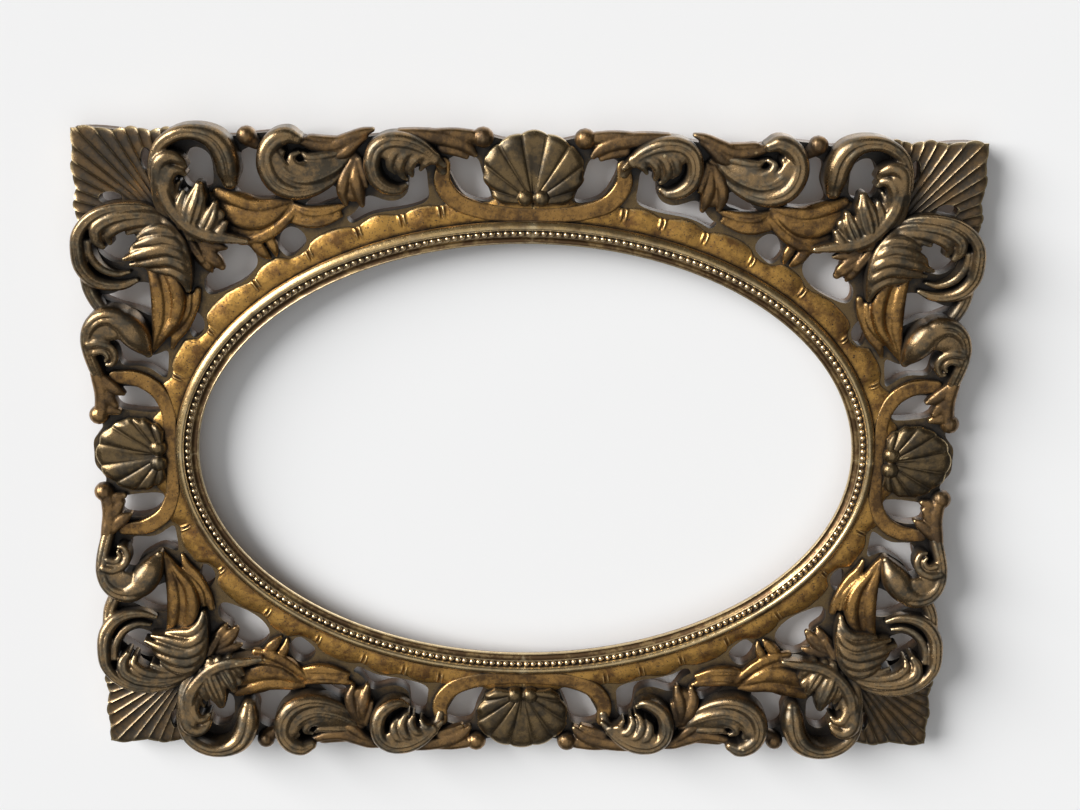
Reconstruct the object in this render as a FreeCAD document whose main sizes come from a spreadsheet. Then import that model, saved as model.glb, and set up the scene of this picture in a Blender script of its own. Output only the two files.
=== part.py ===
# Gilt wood picture frame with an oval sight, carved in the rococo revival manner.
# Four mitred and pierced ground boards carry an oval moulding with a row of pearls
# and glued-on carvings: corner fans, acanthus scrolls, shells, straps and leaves.
# The wall is the plane Y = 0, the front faces -Y, Z is up and the sight is centred on Y.
import FreeCAD, Part
import Sketcher
import math
import os
from FreeCAD import Placement, Rotation, Vector

doc = FreeCAD.newDocument("gilt_oval_frame")


# Driving dimensions in millimetres
SIZES = (
    ("outer_width", 610.0),
    ("outer_height", 457.0),
    ("sight_width", 457.0),
    ("sight_height", 305.0),
    ("board_thickness", 12.0),
    ("board_edge_inset", 4.0),
    ("mitre_run", 150.0),
    ("rebate_width", 6.0),
    ("carving_relief", 19.0),
    ("moulding_width", 15.0),
    ("moulding_height", 7.5),
    ("pearl_radius", 1.9),
    ("pearl_pitch", 5.0),
    ("glue_gap", 0.25),
    ("overrun", 10.0),
    ("bumper_thickness", 5.0),
    ("bumper_radius", 5.0),
    ("bumper_inset", 14.0),
    ("screw_shank_radius", 1.5),
    ("screw_shank_length", 9.0),
    ("screw_head_radius", 2.9),
    ("screw_head_height", 1.5),
    ("running_gap", 0.08),
    ("button_thickness", 1.6),
    ("button_width", 9.0),
    ("button_reach", 13.0),
    ("button_setback", 9.0),
    ("hanger_thickness", 1.2),
    ("hanger_width", 10.0),
    ("hanger_length", 32.0),
    ("hanger_screw_inset", 5.0),
    ("hanger_side_place", 240.0),
    ("hanger_top_place", 206.0),
    ("ring_wire_radius", 1.0),
    ("ring_inner_width", 12.5),
    ("ring_leg", 8.0),
)

sheet = doc.addObject("Spreadsheet::Sheet", "Sizes")
for row, (alias, value) in enumerate(SIZES, start=1):
    sheet.set("A" + str(row), alias)
    sheet.set("B" + str(row), str(value))
    sheet.setAlias("B" + str(row), alias)
doc.recompute()


def size(alias):
    return float(sheet.get(alias))


half_width = size("outer_width") / 2
half_height = size("outer_height") / 2
sight_side = size("sight_width") / 2
sight_top = size("sight_height") / 2
rebate_side = sight_side + size("rebate_width")
rebate_top = sight_top + size("rebate_width")
moulding_side = sight_side + size("moulding_width")
moulding_top = sight_top + size("moulding_width")
border_width = half_width - sight_side
board_back = size("bumper_thickness")
board_front = board_back + size("board_thickness")
relief = size("carving_relief")
glue_gap = size("glue_gap")
overrun = size("overrun")

QUARTERS = (
    ("top_right", 1, 1),
    ("top_left", -1, 1),
    ("bottom_right", 1, -1),
    ("bottom_left", -1, -1),
)


# Shared ways of making and placing shapes
def at(place, height):
    """A point of the frame's face, given in the wall plane, at a height off the wall."""
    return Vector(place[0], -height, place[1])


def on_frame(share):
    return (share[0] * half_width, share[1] * half_height)


def prism(face, thickness):
    return face.extrude(Vector(0, -thickness, 0))


def smooth_face(places, height):
    """A flat face inside a closed smooth outline through the given places."""
    outline = Part.BSplineCurve()
    outline.interpolate([at(place, height) for place in places], PeriodicFlag=True)
    return Part.Face(Part.Wire(outline.toShape()))


def ellipse_prism(side, top, start_height, end_height):
    low = Vector(0, -start_height, 0)
    oval = Part.Ellipse(low + Vector(side, 0, 0), low + Vector(0, 0, top), low)
    return prism(Part.Face(Part.Wire(oval.toShape())), end_height - start_height)


def mirrored(shape, side, up):
    """The same carving in another quarter of the frame."""
    result = shape.copy()
    if side < 0:
        result = result.mirror(Vector(), Vector(1, 0, 0))
    if up < 0:
        result = result.mirror(Vector(), Vector(0, 0, 1))
    return result


def add_piece(name, shape, place=Placement()):
    piece = doc.addObject("Part::Feature", name)
    piece.Label = name
    piece.Shape = shape
    piece.Placement = place
    return piece


def largest_solid(shape):
    return max(shape.Solids, key=lambda solid: solid.Volume)


def without(shape, cutters):
    """The shape less the cutters that come near it, as one solid."""
    near = [cutter for cutter in cutters if cutter.BoundBox.intersect(shape.BoundBox)]
    if not near:
        return shape
    return largest_solid(shape.cut(near))


# Carved ribbons: a stem or scroll with upright sides and rounded flutes on a flat back
LOBES = 2
LOBE_RISE_SHARE = 0.45
LOBE_HEIGHT_SHARE = 0.7
SECTIONS_A_SPAN = 3


def ribbon_sections(path_shares):
    """Centre, sideways direction, width and height of each section along a path."""
    centres = [at(on_frame(share), board_front) for share in path_shares]
    stations = [0.0]
    for one, two in zip(centres[:-1], centres[1:]):
        stations.append(stations[-1] + one.distanceToPoint(two))
    centre_line = Part.BSplineCurve()
    centre_line.interpolate(Points=centres, Parameters=stations)
    sections = []
    for span in range(len(stations) - 1):
        steps = SECTIONS_A_SPAN + (1 if span == len(stations) - 2 else 0)
        for step in range(steps):
            blend = step / SECTIONS_A_SPAN
            station = stations[span] * (1 - blend) + stations[span + 1] * blend
            across = centre_line.tangent(station)[0].cross(Vector(0, 1, 0)).normalize()
            width, height = (
                one * (1 - blend) + two * blend
                for one, two in zip(path_shares[span][2:], path_shares[span + 1][2:]))
            sections.append(
                (centre_line.value(station), across, width * border_width, height * relief))
    return sections


def ribbon(path_shares):
    wires = []
    for centre, across, width, height in ribbon_sections(path_shares):
        lobe_width = width / LOBES
        rise = min(lobe_width * LOBE_RISE_SHARE, height * LOBE_HEIGHT_SHARE)
        side_top = Vector(0, rise - height, 0)
        left = centre - across * (width / 2)
        right = centre + across * (width / 2)
        edges = [Part.makeLine(left, left + side_top)]
        for lobe in range(LOBES):
            start = left + side_top + across * (lobe_width * lobe)
            middle = start + across * (lobe_width / 2) + Vector(0, -rise, 0)
            edges.append(Part.Arc(start, middle, start + across * lobe_width).toShape())
        edges.append(Part.makeLine(right + side_top, right))
        edges.append(Part.makeLine(right, left))
        wires.append(Part.Wire(edges))
    return Part.makeLoft(wires, True, False)


def ribbon_cutter(path_shares):
    """The room that a ribbon needs, with its glue line, right through the carving."""
    wires = []
    for centre, across, width, height in ribbon_sections(path_shares):
        reach = across * (width / 2 + glue_gap)
        low = centre + Vector(0, overrun / 2, 0)
        high = centre - Vector(0, relief + overrun, 0)
        corners = (low - reach, low + reach, high + reach, high - reach, low - reach)
        wires.append(Part.makePolygon(corners))
    return Part.makeLoft(wires, True, False)


def boss(place_share, radius_share, extra=0):
    """A round knob: half a ball on the ground board."""
    centre = at(on_frame(place_share), board_front)
    radius = radius_share * border_width + extra
    ball = Part.makeSphere(radius, centre)
    if extra:
        return ball
    back = Part.makeBox(radius * 4, radius * 4, radius * 4)
    back.translate(centre - Vector(radius * 2, 0, radius * 2))
    return ball.cut(back)


# Paths of the carvings in the top right quarter. Each point is a place as shares of
# the frame's half width and half height, a width as a share of the border and a
# height as a share of the relief.
RAIL_ACANTHUS_SHARES = {
    "scroll": (
        (0.774, 0.656, 0.13, 0.35), (0.797, 0.731, 0.20, 0.6), (0.805, 0.818, 0.24, 0.85),
        (0.793, 0.902, 0.25, 1.0), (0.741, 0.961, 0.22, 1.0), (0.682, 0.950, 0.21, 0.95),
        (0.656, 0.893, 0.22, 0.8), (0.666, 0.832, 0.16, 0.55)),
    "leaf": (
        (0.790, 0.713, 0.12, 0.45), (0.757, 0.753, 0.18, 0.6),
        (0.734, 0.801, 0.16, 0.55), (0.725, 0.845, 0.04, 0.25)),
    "nose": (
        (0.787, 0.700, 0.18, 0.45), (0.734, 0.709, 0.20, 0.6),
        (0.679, 0.691, 0.16, 0.6), (0.620, 0.670, 0.08, 0.35)),
    "lobe": (
        (0.807, 0.884, 0.13, 0.7), (0.777, 0.897, 0.12, 0.6), (0.751, 0.902, 0.04, 0.4)),
    "sprig": (
        (0.767, 0.674, 0.10, 0.25), (0.734, 0.621, 0.20, 0.3), (0.708, 0.573, 0.16, 0.15)),
}
STILE_ACANTHUS_SHARES = {
    "scroll": (
        (0.780, 0.617, 0.13, 0.35), (0.810, 0.683, 0.21, 0.6), (0.859, 0.726, 0.25, 0.9),
        (0.915, 0.722, 0.26, 1.0), (0.957, 0.674, 0.25, 1.0), (0.970, 0.608, 0.21, 0.9),
        (0.941, 0.547, 0.17, 0.7), (0.885, 0.534, 0.10, 0.5), (0.859, 0.547, 0.04, 0.3)),
    "body": (
        (0.757, 0.556, 0.13, 0.4), (0.774, 0.604, 0.21, 0.6), (0.810, 0.643, 0.21, 0.7),
        (0.846, 0.626, 0.16, 0.6), (0.875, 0.604, 0.05, 0.35)),
}
SIDE_CURL_SHARES = {
    "scroll": (
        (0.849, 0.385, 0.18, 0.75), (0.869, 0.429, 0.20, 0.85), (0.908, 0.442, 0.17, 0.8),
        (0.948, 0.420, 0.17, 0.8), (0.974, 0.368, 0.17, 0.8), (0.977, 0.298, 0.16, 0.7),
        (0.967, 0.228, 0.16, 0.55), (0.957, 0.166, 0.14, 0.5), (0.970, 0.118, 0.16, 0.45)),
}
SIDE_CURL_KNOB_SHARES = (
    (0.862, 0.392, 0.155),
    (0.944, 0.320, 0.10),
    (0.974, 0.120, 0.08),
)
WAVE_SCROLL_SHARES = {
    "scroll": (
        (0.361, 0.967, 0.09, 0.4), (0.397, 0.906, 0.12, 0.5), (0.443, 0.849, 0.16, 0.7),
        (0.505, 0.823, 0.17, 0.85), (0.561, 0.858, 0.21, 1.0), (0.574, 0.928, 0.21, 1.0),
        (0.538, 0.967, 0.18, 0.9), (0.502, 0.932, 0.12, 0.7)),
    "crest": (
        (0.505, 0.967, 0.10, 0.5), (0.449, 0.958, 0.12, 0.45),
        (0.400, 0.954, 0.10, 0.4), (0.354, 0.980, 0.07, 0.3)),
    "strip": (
        (0.577, 0.958, 0.09, 0.3), (0.620, 0.972, 0.10, 0.3)),
    "sprig": (
        (0.387, 0.906, 0.08, 0.35), (0.393, 0.836, 0.16, 0.35), (0.400, 0.775, 0.17, 0.2)),
}
WAVE_SCROLL_KNOB_SHARES = (
    (0.618, 0.980, 0.07),
    (0.508, 0.882, 0.10),
)
CREST_SCROLL_SHARES = {
    "scroll": (
        (0.207, 0.910, 0.12, 0.4), (0.226, 0.950, 0.14, 0.6), (0.269, 0.967, 0.17, 0.8),
        (0.321, 0.958, 0.18, 0.9), (0.357, 0.910, 0.17, 0.9), (0.357, 0.853, 0.16, 0.8),
        (0.328, 0.823, 0.13, 0.7), (0.295, 0.836, 0.08, 0.5)),
    "lobe": (
        (0.344, 0.906, 0.10, 0.7), (0.311, 0.897, 0.16, 0.65), (0.282, 0.867, 0.08, 0.5)),
    "strip": (
        (0.262, 0.980, 0.09, 0.4), (0.203, 0.985, 0.12, 0.35),
        (0.154, 0.958, 0.12, 0.3), (0.121, 0.972, 0.09, 0.3)),
}
CREST_SCROLL_KNOB_SHARES = (
    (0.108, 0.985, 0.075),
)
RAIL_LEAF_SHARES = {
    "blade": (
        (0.666, 0.753, 0.26, 0.25), (0.616, 0.735, 0.34, 0.3),
        (0.564, 0.753, 0.21, 0.3), (0.525, 0.775, 0.04, 0.2)),
    "under": (
        (0.643, 0.678, 0.13, 0.2), (0.610, 0.643, 0.18, 0.25), (0.577, 0.617, 0.07, 0.15)),
    "band": (
        (0.584, 0.713, 0.10, 0.15), (0.492, 0.735, 0.16, 0.2),
        (0.446, 0.744, 0.13, 0.2), (0.403, 0.726, 0.04, 0.1)),
}
STILE_LEAF_SHARES = {
    "blade": (
        (0.797, 0.543, 0.18, 0.25), (0.807, 0.473, 0.26, 0.3),
        (0.820, 0.394, 0.24, 0.3), (0.846, 0.306, 0.04, 0.2)),
    "under": (
        (0.784, 0.475, 0.10, 0.2), (0.793, 0.394, 0.13, 0.2), (0.780, 0.350, 0.05, 0.1)),
}
# Straps run through the middle, so their lists hold one half and end on the axis
RAIL_STRAP_SHARES = (
    (0.197, 0.895, 0.11, 0.3), (0.193, 0.835, 0.12, 0.25), (0.167, 0.786, 0.13, 0.22),
    (0.115, 0.760, 0.13, 0.2), (0.050, 0.754, 0.13, 0.2), (0.0, 0.753, 0.13, 0.2))
SIDE_STRAP_SHARES = (
    (0.925, 0.240, 0.11, 0.3), (0.880, 0.232, 0.12, 0.25), (0.840, 0.200, 0.12, 0.22),
    (0.820, 0.150, 0.11, 0.2), (0.813, 0.070, 0.10, 0.2), (0.812, 0.0, 0.10, 0.2))


def carving(parts_shares, knobs_shares=()):
    """One carved piece: its ribbons and knobs grown together."""
    members = [ribbon(path) for path in parts_shares.values()]
    members += [boss(knob[:2], knob[2]) for knob in knobs_shares]
    if len(members) == 1:
        return members[0]
    return largest_solid(members[0].fuse(members[1:]).removeSplitter())


def carving_cutters(parts_shares, knobs_shares=()):
    cutters = [ribbon_cutter(path) for path in parts_shares.values()]
    cutters += [boss(knob[:2], knob[2], glue_gap) for knob in knobs_shares]
    return cutters


# Fans and shells: wedges fluted from an apex, built from flat facets on a flat back
FLUTE_VALLEY_SHARE = 0.6


def fluted_wedge(apex, start_angle, end_angle, flutes, reach_at, rings):
    """rings holds, from the apex outwards, a share of the reach and a ridge height."""
    steps = 2 * flutes
    angles = [start_angle + (end_angle - start_angle) * step / steps for step in range(steps + 1)]

    def ring_points(reach_share, ridge_height):
        top = []
        base = []
        for step, angle in enumerate(angles):
            run = reach_at(angle) * reach_share
            place = (apex[0] + run * math.cos(angle), apex[1] + run * math.sin(angle))
            rise = ridge_height if step % 2 else ridge_height * FLUTE_VALLEY_SHARE
            top.append(at(place, board_front + rise))
            base.append(at(place, board_front))
        return top, base

    tops, bases = zip(*[ring_points(*ring) for ring in rings])
    faces = []

    def add_face(corners):
        faces.append(Part.Face(Part.makePolygon(list(corners) + [corners[0]])))

    for inner, outer in zip(tops[:-1], tops[1:]):
        for step in range(steps):
            add_face((inner[step], outer[step], outer[step + 1]))
            add_face((inner[step], outer[step + 1], inner[step + 1]))
    for top, base in ((tops[0], bases[0]), (tops[-1], bases[-1])):
        for step in range(steps):
            add_face((base[step], base[step + 1], top[step + 1], top[step]))
    for side in (0, steps):
        ridge_line = [top[side] for top in reversed(tops)]
        add_face([bases[0][side], bases[-1][side]] + ridge_line)
    add_face(list(bases[0]) + list(reversed(bases[-1])))
    wedge = Part.Solid(Part.Shell(faces))
    if wedge.Volume < 0:
        wedge.reverse()
    return wedge


CORNER_FAN_APEX_SHARES = (0.774, 0.700)
CORNER_FAN_FLUTES = 12
CORNER_FAN_RING_SHARES = ((0.20, 0.26), (0.55, 0.24), (1.0, 0.20))
CORNER_FAN_START = math.radians(3)
CORNER_FAN_END = math.radians(84)
SHELL_FLUTES = 9
SHELL_RING_SHARES = ((0.14, 0.25), (0.5, 0.5), (0.85, 0.42), (1.0, 0.22))
SCALLOP_SHARE = 0.03
RAIL_SHELL_APEX_SHARES = (0.0, 0.797)
RAIL_SHELL_HALF_ANGLE = math.radians(52)
SIDE_SHELL_APEX_SHARES = (0.838, 0.0)
SIDE_SHELL_HALF_ANGLE = math.radians(37)
SHELL_KNOB_SHARE = 0.055


def ring_sizes(ring_shares):
    return [(ring[0], ring[1] * relief) for ring in ring_shares]


def corner_fan():
    apex = on_frame(CORNER_FAN_APEX_SHARES)
    room_out = half_width - apex[0]
    room_up = half_height - apex[1]

    def reach_at(angle):
        return min(room_out / math.cos(angle), room_up / math.sin(angle))

    rings = ring_sizes(CORNER_FAN_RING_SHARES)
    return fluted_wedge(
        apex, CORNER_FAN_START, CORNER_FAN_END, CORNER_FAN_FLUTES, reach_at, rings)


def shell(apex, middle_angle, half_angle, length):
    """A scallop shell that opens outwards from two small knobs at its root."""
    def reach_at(angle):
        turn = (angle - middle_angle) / half_angle
        rib_wave = math.cos(math.pi * SHELL_FLUTES * (turn + 1))
        return length * (1 - SCALLOP_SHARE / 2 - SCALLOP_SHARE / 2 * rib_wave)

    start = middle_angle - half_angle
    end = middle_angle + half_angle
    body = fluted_wedge(apex, start, end, SHELL_FLUTES, reach_at, ring_sizes(SHELL_RING_SHARES))
    knob_radius = SHELL_KNOB_SHARE * border_width
    sideways = Vector(math.sin(middle_angle), 0, -math.cos(middle_angle))
    outwards = Vector(math.cos(middle_angle), 0, math.sin(middle_angle))
    knobs = []
    for side in (-1, 1):
        centre = at(apex, board_front) + sideways * (side * knob_radius) + outwards * knob_radius
        ball = Part.makeSphere(knob_radius, centre)
        back = Part.makeBox(knob_radius * 2, knob_radius * 2, knob_radius * 2)
        back.translate(centre - Vector(knob_radius, 0, knob_radius))
        knobs.append(ball.cut(back))
    return largest_solid(body.fuse(knobs))


def strap(half_shares, mirror_x):
    """A strap through the middle of a side: one half, then its mirror image."""
    flip = (-1, 1) if mirror_x else (1, -1)
    other = [(x * flip[0], z * flip[1], w, h) for x, z, w, h in reversed(half_shares[:-1])]
    return tuple(half_shares) + tuple(other)


# Pierced openings between the carvings, as closed smooth outlines in shares of the
# frame's half width and half height, for the top right quarter
PIERCING_SHARES = {
    "fan_slot_rail": (
        (0.849, 0.897), (0.836, 0.930), (0.821, 0.902), (0.823, 0.871), (0.836, 0.862)),
    "inside_rail_acanthus": (
        (0.751, 0.910), (0.725, 0.935), (0.702, 0.919), (0.692, 0.867),
        (0.698, 0.823), (0.718, 0.814), (0.751, 0.832), (0.757, 0.875)),
    "beside_wave_scroll": (
        (0.623, 0.932), (0.600, 0.937), (0.587, 0.888), (0.561, 0.832),
        (0.557, 0.801), (0.597, 0.788), (0.646, 0.814), (0.633, 0.867)),
    "under_wave_scroll": (
        (0.498, 0.770), (0.466, 0.810), (0.430, 0.827),
        (0.423, 0.796), (0.449, 0.779), (0.482, 0.766)),
    "under_crest_scroll": (
        (0.404, 0.740), (0.380, 0.768), (0.362, 0.800), (0.315, 0.788), (0.274, 0.814),
        (0.262, 0.880), (0.240, 0.890), (0.229, 0.840), (0.229, 0.795), (0.256, 0.774),
        (0.302, 0.760), (0.348, 0.748), (0.380, 0.728), (0.400, 0.724)),
    "beside_rail_shell": (
        (0.179, 0.918), (0.148, 0.927), (0.124, 0.918), (0.111, 0.875), (0.095, 0.823),
        (0.092, 0.797), (0.118, 0.793), (0.150, 0.810), (0.172, 0.850)),
    "corner_triangle": (
        (0.685, 0.643), (0.626, 0.652), (0.603, 0.608), (0.633, 0.543),
        (0.675, 0.512), (0.715, 0.503), (0.718, 0.551), (0.692, 0.586)),
    "leaf_eye_rail": (
        (0.551, 0.683), (0.511, 0.700), (0.495, 0.665),
        (0.511, 0.635), (0.534, 0.617), (0.554, 0.639)),
    "fan_slot_stile": (
        (0.941, 0.783), (0.918, 0.803), (0.893, 0.788), (0.898, 0.766), (0.928, 0.764)),
    "inside_stile_acanthus": (
        (0.948, 0.635), (0.918, 0.670), (0.879, 0.687), (0.862, 0.661),
        (0.869, 0.617), (0.895, 0.595), (0.921, 0.595)),
    "beside_side_curl": (
        (0.951, 0.495), (0.908, 0.508), (0.859, 0.534), (0.833, 0.525),
        (0.826, 0.473), (0.836, 0.433), (0.872, 0.451), (0.918, 0.468)),
    "leaf_eye_stile": (
        (0.761, 0.407), (0.748, 0.451), (0.731, 0.433), (0.728, 0.389), (0.744, 0.368)),
    "under_side_curl": (
        (0.934, 0.394), (0.915, 0.403), (0.902, 0.363), (0.869, 0.324), (0.839, 0.311),
        (0.812, 0.324), (0.810, 0.270), (0.816, 0.240), (0.839, 0.258), (0.879, 0.276),
        (0.911, 0.280), (0.925, 0.333)),
    "beside_stile_shell": (
        (0.928, 0.206), (0.885, 0.210), (0.849, 0.184),
        (0.836, 0.136), (0.859, 0.130), (0.902, 0.136), (0.928, 0.149)),
}


def piercings():
    """The pierced openings of the top right quarter, longer than any carving is deep."""
    depth = board_front - board_back + relief + 2 * overrun
    tools = []
    for outline_shares in PIERCING_SHARES.values():
        places = [on_frame(share) for share in outline_shares]
        tools.append(prism(smooth_face(places, board_back - overrun / 2), depth))
    return tools


# Ground boards: two rails and two stiles, mitred at the corners, with scalloped outer
# edges that follow the carvings, an oval opening and pierced ground
RAIL_EDGE_SHARES = (
    (0.885, 0.979), (0.806, 0.970), (0.728, 0.988), (0.656, 0.969), (0.623, 0.973),
    (0.534, 0.980), (0.459, 0.960), (0.354, 0.974), (0.279, 0.985), (0.197, 0.982),
    (0.148, 0.963), (0.108, 0.982), (0.066, 0.972), (0.0, 0.977))
STILE_EDGE_SHARES = (
    (0.984, 0.875), (0.977, 0.744), (0.984, 0.656), (0.980, 0.591), (0.967, 0.525),
    (0.964, 0.473), (0.974, 0.394), (0.980, 0.350), (0.970, 0.263), (0.954, 0.184),
    (0.951, 0.158), (0.970, 0.118), (0.964, 0.088), (0.984, 0.044), (0.987, 0.0))


def board_blank(edge_shares, mirror_x):
    """A mitred board before it is pierced, on the top or the right-hand side."""
    inset = size("board_edge_inset")
    run = size("mitre_run")
    corner = (half_width - inset, half_height - inset)
    inner = (corner[0] - run, corner[1] - run)
    flip = (-1, 1) if mirror_x else (1, -1)
    half = [corner] + [on_frame(share) for share in edge_shares]
    edge = half + [(x * flip[0], z * flip[1]) for x, z in reversed(half[:-1])]
    inner_far = (inner[0] * flip[0], inner[1] * flip[1])
    outline = Part.BSplineCurve()
    outline.interpolate([at(place, board_back) for place in edge])
    straight = [at(place, board_back) for place in (edge[-1], inner_far, inner, edge[0])]
    wire = Part.Wire([outline.toShape()] + Part.makePolygon(straight).Edges)
    return prism(Part.Face(wire), size("board_thickness"))


def screw_places():
    """Where the hanger and turn-button screws enter the boards from behind."""
    top = size("hanger_top_place")
    low = top - size("hanger_length")
    side = size("hanger_side_place")
    inset = size("hanger_screw_inset")
    upper = top - size("ring_leg") / 2 - inset
    places = [(sign * side, height) for sign in (-1, 1) for height in (upper, low + inset)]
    places += [place for place, turn in button_places()]
    return places


def button_places():
    """Pivot of each turn button, and the turn that parks it along the rebate."""
    setback = size("button_setback")
    side = rebate_side + setback
    top = rebate_top + setback
    return (((0, top), 0), ((0, -top), 0), ((side, 0), 90), ((-side, 0), 90))


def ground_boards():
    opening = ellipse_prism(rebate_side, rebate_top, board_back - overrun, board_front + overrun)
    tools = [opening]
    for tool in piercings():
        tools += [mirrored(tool, side, up) for name, side, up in QUARTERS]
    pilot_radius = size("screw_shank_radius")
    pilot_depth = size("screw_shank_length")
    for place in screw_places():
        start = at(place, board_back - overrun)
        tools.append(Part.makeCylinder(pilot_radius, pilot_depth + overrun, start, Vector(0, -1, 0)))
    rail = board_blank(RAIL_EDGE_SHARES, True)
    stile = board_blank(STILE_EDGE_SHARES, False)
    add_piece("top_rail", without(rail, tools))
    add_piece("bottom_rail", without(mirrored(rail, 1, -1), tools))
    add_piece("right_stile", without(stile, tools))
    add_piece("left_stile", without(mirrored(stile, -1, 1), tools))


# Oval moulding: a fillet at the sight, a cove, a ledge for the pearls and a round
# outer member, as shares of the moulding's width and height. Quarters meet on the axes.
# Behind the sight a shallow step, just inside the rebate, makes the seat of the glass.
MOULDING_SHARES = (
    (0.0, 0.04), (0.0, 0.42), (0.08, 0.46), (0.13, 0.40), (0.20, 0.27), (0.30, 0.30),
    (0.36, 0.42), (0.66, 0.42), (0.68, 0.56), (0.74, 0.84), (0.83, 1.0), (0.93, 0.86),
    (0.98, 0.60), (1.0, 0.42), (1.0, 0.0), (0.38, 0.0), (0.38, 0.04))
PEARL_LINE_SHARE = 0.51
PEARL_LEDGE_SHARE = 0.42


def oval_moulding():
    start = Vector(sight_side, -board_front, 0)
    centre = Vector(0, -board_front, 0)
    oval = Part.Ellipse(start, centre + Vector(0, 0, sight_top), centre)
    path = Part.Wire(Part.ArcOfEllipse(oval, 0, math.pi / 2).toShape())
    width = size("moulding_width")
    height = size("moulding_height")
    corners = [start + Vector(out * width, -rise * height, 0) for out, rise in MOULDING_SHARES]
    profile = Part.makePolygon(corners + [corners[0]])
    sweep = Part.BRepOffsetAPI.MakePipeShell(path)
    sweep.setBiNormalMode(Vector(0, 1, 0))
    sweep.add(profile, False, False)
    sweep.build()
    sweep.makeSolid()
    quarter = sweep.shape()
    for name, side, up in QUARTERS:
        add_piece("oval_moulding_" + name, mirrored(quarter, side, up))


# Pearls: half-round beads glued side by side on the moulding's ledge
OVAL_STEPS = 7200


def even_places(side, top, pitch):
    """Places spread evenly round an oval, starting half a pitch past the axis."""
    turns = [2 * math.pi * step / OVAL_STEPS for step in range(OVAL_STEPS + 1)]
    points = [(side * math.cos(turn), top * math.sin(turn)) for turn in turns]
    lengths = [math.dist(one, two) for one, two in zip(points[:-1], points[1:])]
    total = sum(lengths)
    count = 4 * round(total / pitch / 4)
    places = []
    travelled = 0
    for point, length in zip(points[:-1], lengths):
        if travelled >= (len(places) + 0.5) * total / count:
            places.append(point)
        travelled += length
    return places


def pearl_beading():
    out = PEARL_LINE_SHARE * size("moulding_width")
    seat = board_front + PEARL_LEDGE_SHARE * size("moulding_height")
    radius = size("pearl_radius")
    places = even_places(sight_side + out, sight_top + out, size("pearl_pitch"))
    ball = Part.makeSphere(radius)
    back = Part.makeBox(radius * 4, radius * 4, radius * 4)
    back.translate(Vector(-radius * 2, 0, -radius * 2))
    bead = ball.cut(back)
    pearls = []
    for place in places:
        pearl = bead.copy()
        pearl.translate(at(place, seat))
        pearls.append(pearl)
    add_piece("pearl_beading", Part.makeCompound(pearls))


# Carvings of each quarter. Those listed first keep their whole outline and the rest
# are cut back round them by a glue line.
def quarter_carvings():
    layers = (
        ("stile_acanthus", STILE_ACANTHUS_SHARES, ()),
        ("rail_acanthus", RAIL_ACANTHUS_SHARES, ()),
        ("side_curl", SIDE_CURL_SHARES, SIDE_CURL_KNOB_SHARES),
        ("wave_scroll", WAVE_SCROLL_SHARES, WAVE_SCROLL_KNOB_SHARES),
        ("crest_scroll", CREST_SCROLL_SHARES, CREST_SCROLL_KNOB_SHARES),
        ("stile_leaf", STILE_LEAF_SHARES, ()),
        ("rail_leaf", RAIL_LEAF_SHARES, ()),
    )
    moulding_room = ellipse_prism(
        moulding_side + glue_gap, moulding_top + glue_gap,
        board_front - overrun, board_front + relief + overrun)
    taken = [moulding_room]
    shapes = {}
    for name, parts_shares, knobs_shares in layers:
        shapes[name] = without(carving(parts_shares, knobs_shares), taken)
        taken += carving_cutters(parts_shares, knobs_shares)
    shapes["corner_fan"] = without(corner_fan(), taken + piercings())
    for name, shape in shapes.items():
        for quarter, side, up in QUARTERS:
            add_piece(name + "_" + quarter, mirrored(shape, side, up))
    return taken


def middle_carvings(taken):
    """Shells and straps on the middle of each side, cut back round their neighbours."""
    quarter_turn = math.pi / 2
    shell_length = half_height - RAIL_SHELL_APEX_SHARES[1] * half_height
    side_length = half_width - SIDE_SHELL_APEX_SHARES[0] * half_width
    rail_taken = taken + [mirrored(tool, -1, 1) for tool in taken]
    side_taken = taken + [mirrored(tool, 1, -1) for tool in taken]
    rail_shell = shell(
        on_frame(RAIL_SHELL_APEX_SHARES), quarter_turn, RAIL_SHELL_HALF_ANGLE, shell_length)
    side_shell = shell(on_frame(SIDE_SHELL_APEX_SHARES), 0, SIDE_SHELL_HALF_ANGLE, side_length)
    rail_path = strap(RAIL_STRAP_SHARES, True)
    side_path = strap(SIDE_STRAP_SHARES, False)
    rail_strap = without(ribbon(rail_path), rail_taken)
    side_strap = without(ribbon(side_path), side_taken)
    rail_shell = without(rail_shell, rail_taken + [ribbon_cutter(rail_path)])
    side_shell = without(side_shell, side_taken + [ribbon_cutter(side_path)])
    add_piece("shell_top", rail_shell)
    add_piece("shell_bottom", mirrored(rail_shell, 1, -1))
    add_piece("shell_right", side_shell)
    add_piece("shell_left", mirrored(side_shell, -1, 1))
    add_piece("strap_top", rail_strap)
    add_piece("strap_bottom", mirrored(rail_strap, 1, -1))
    add_piece("strap_right", side_strap)
    add_piece("strap_left", mirrored(side_strap, -1, 1))


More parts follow.
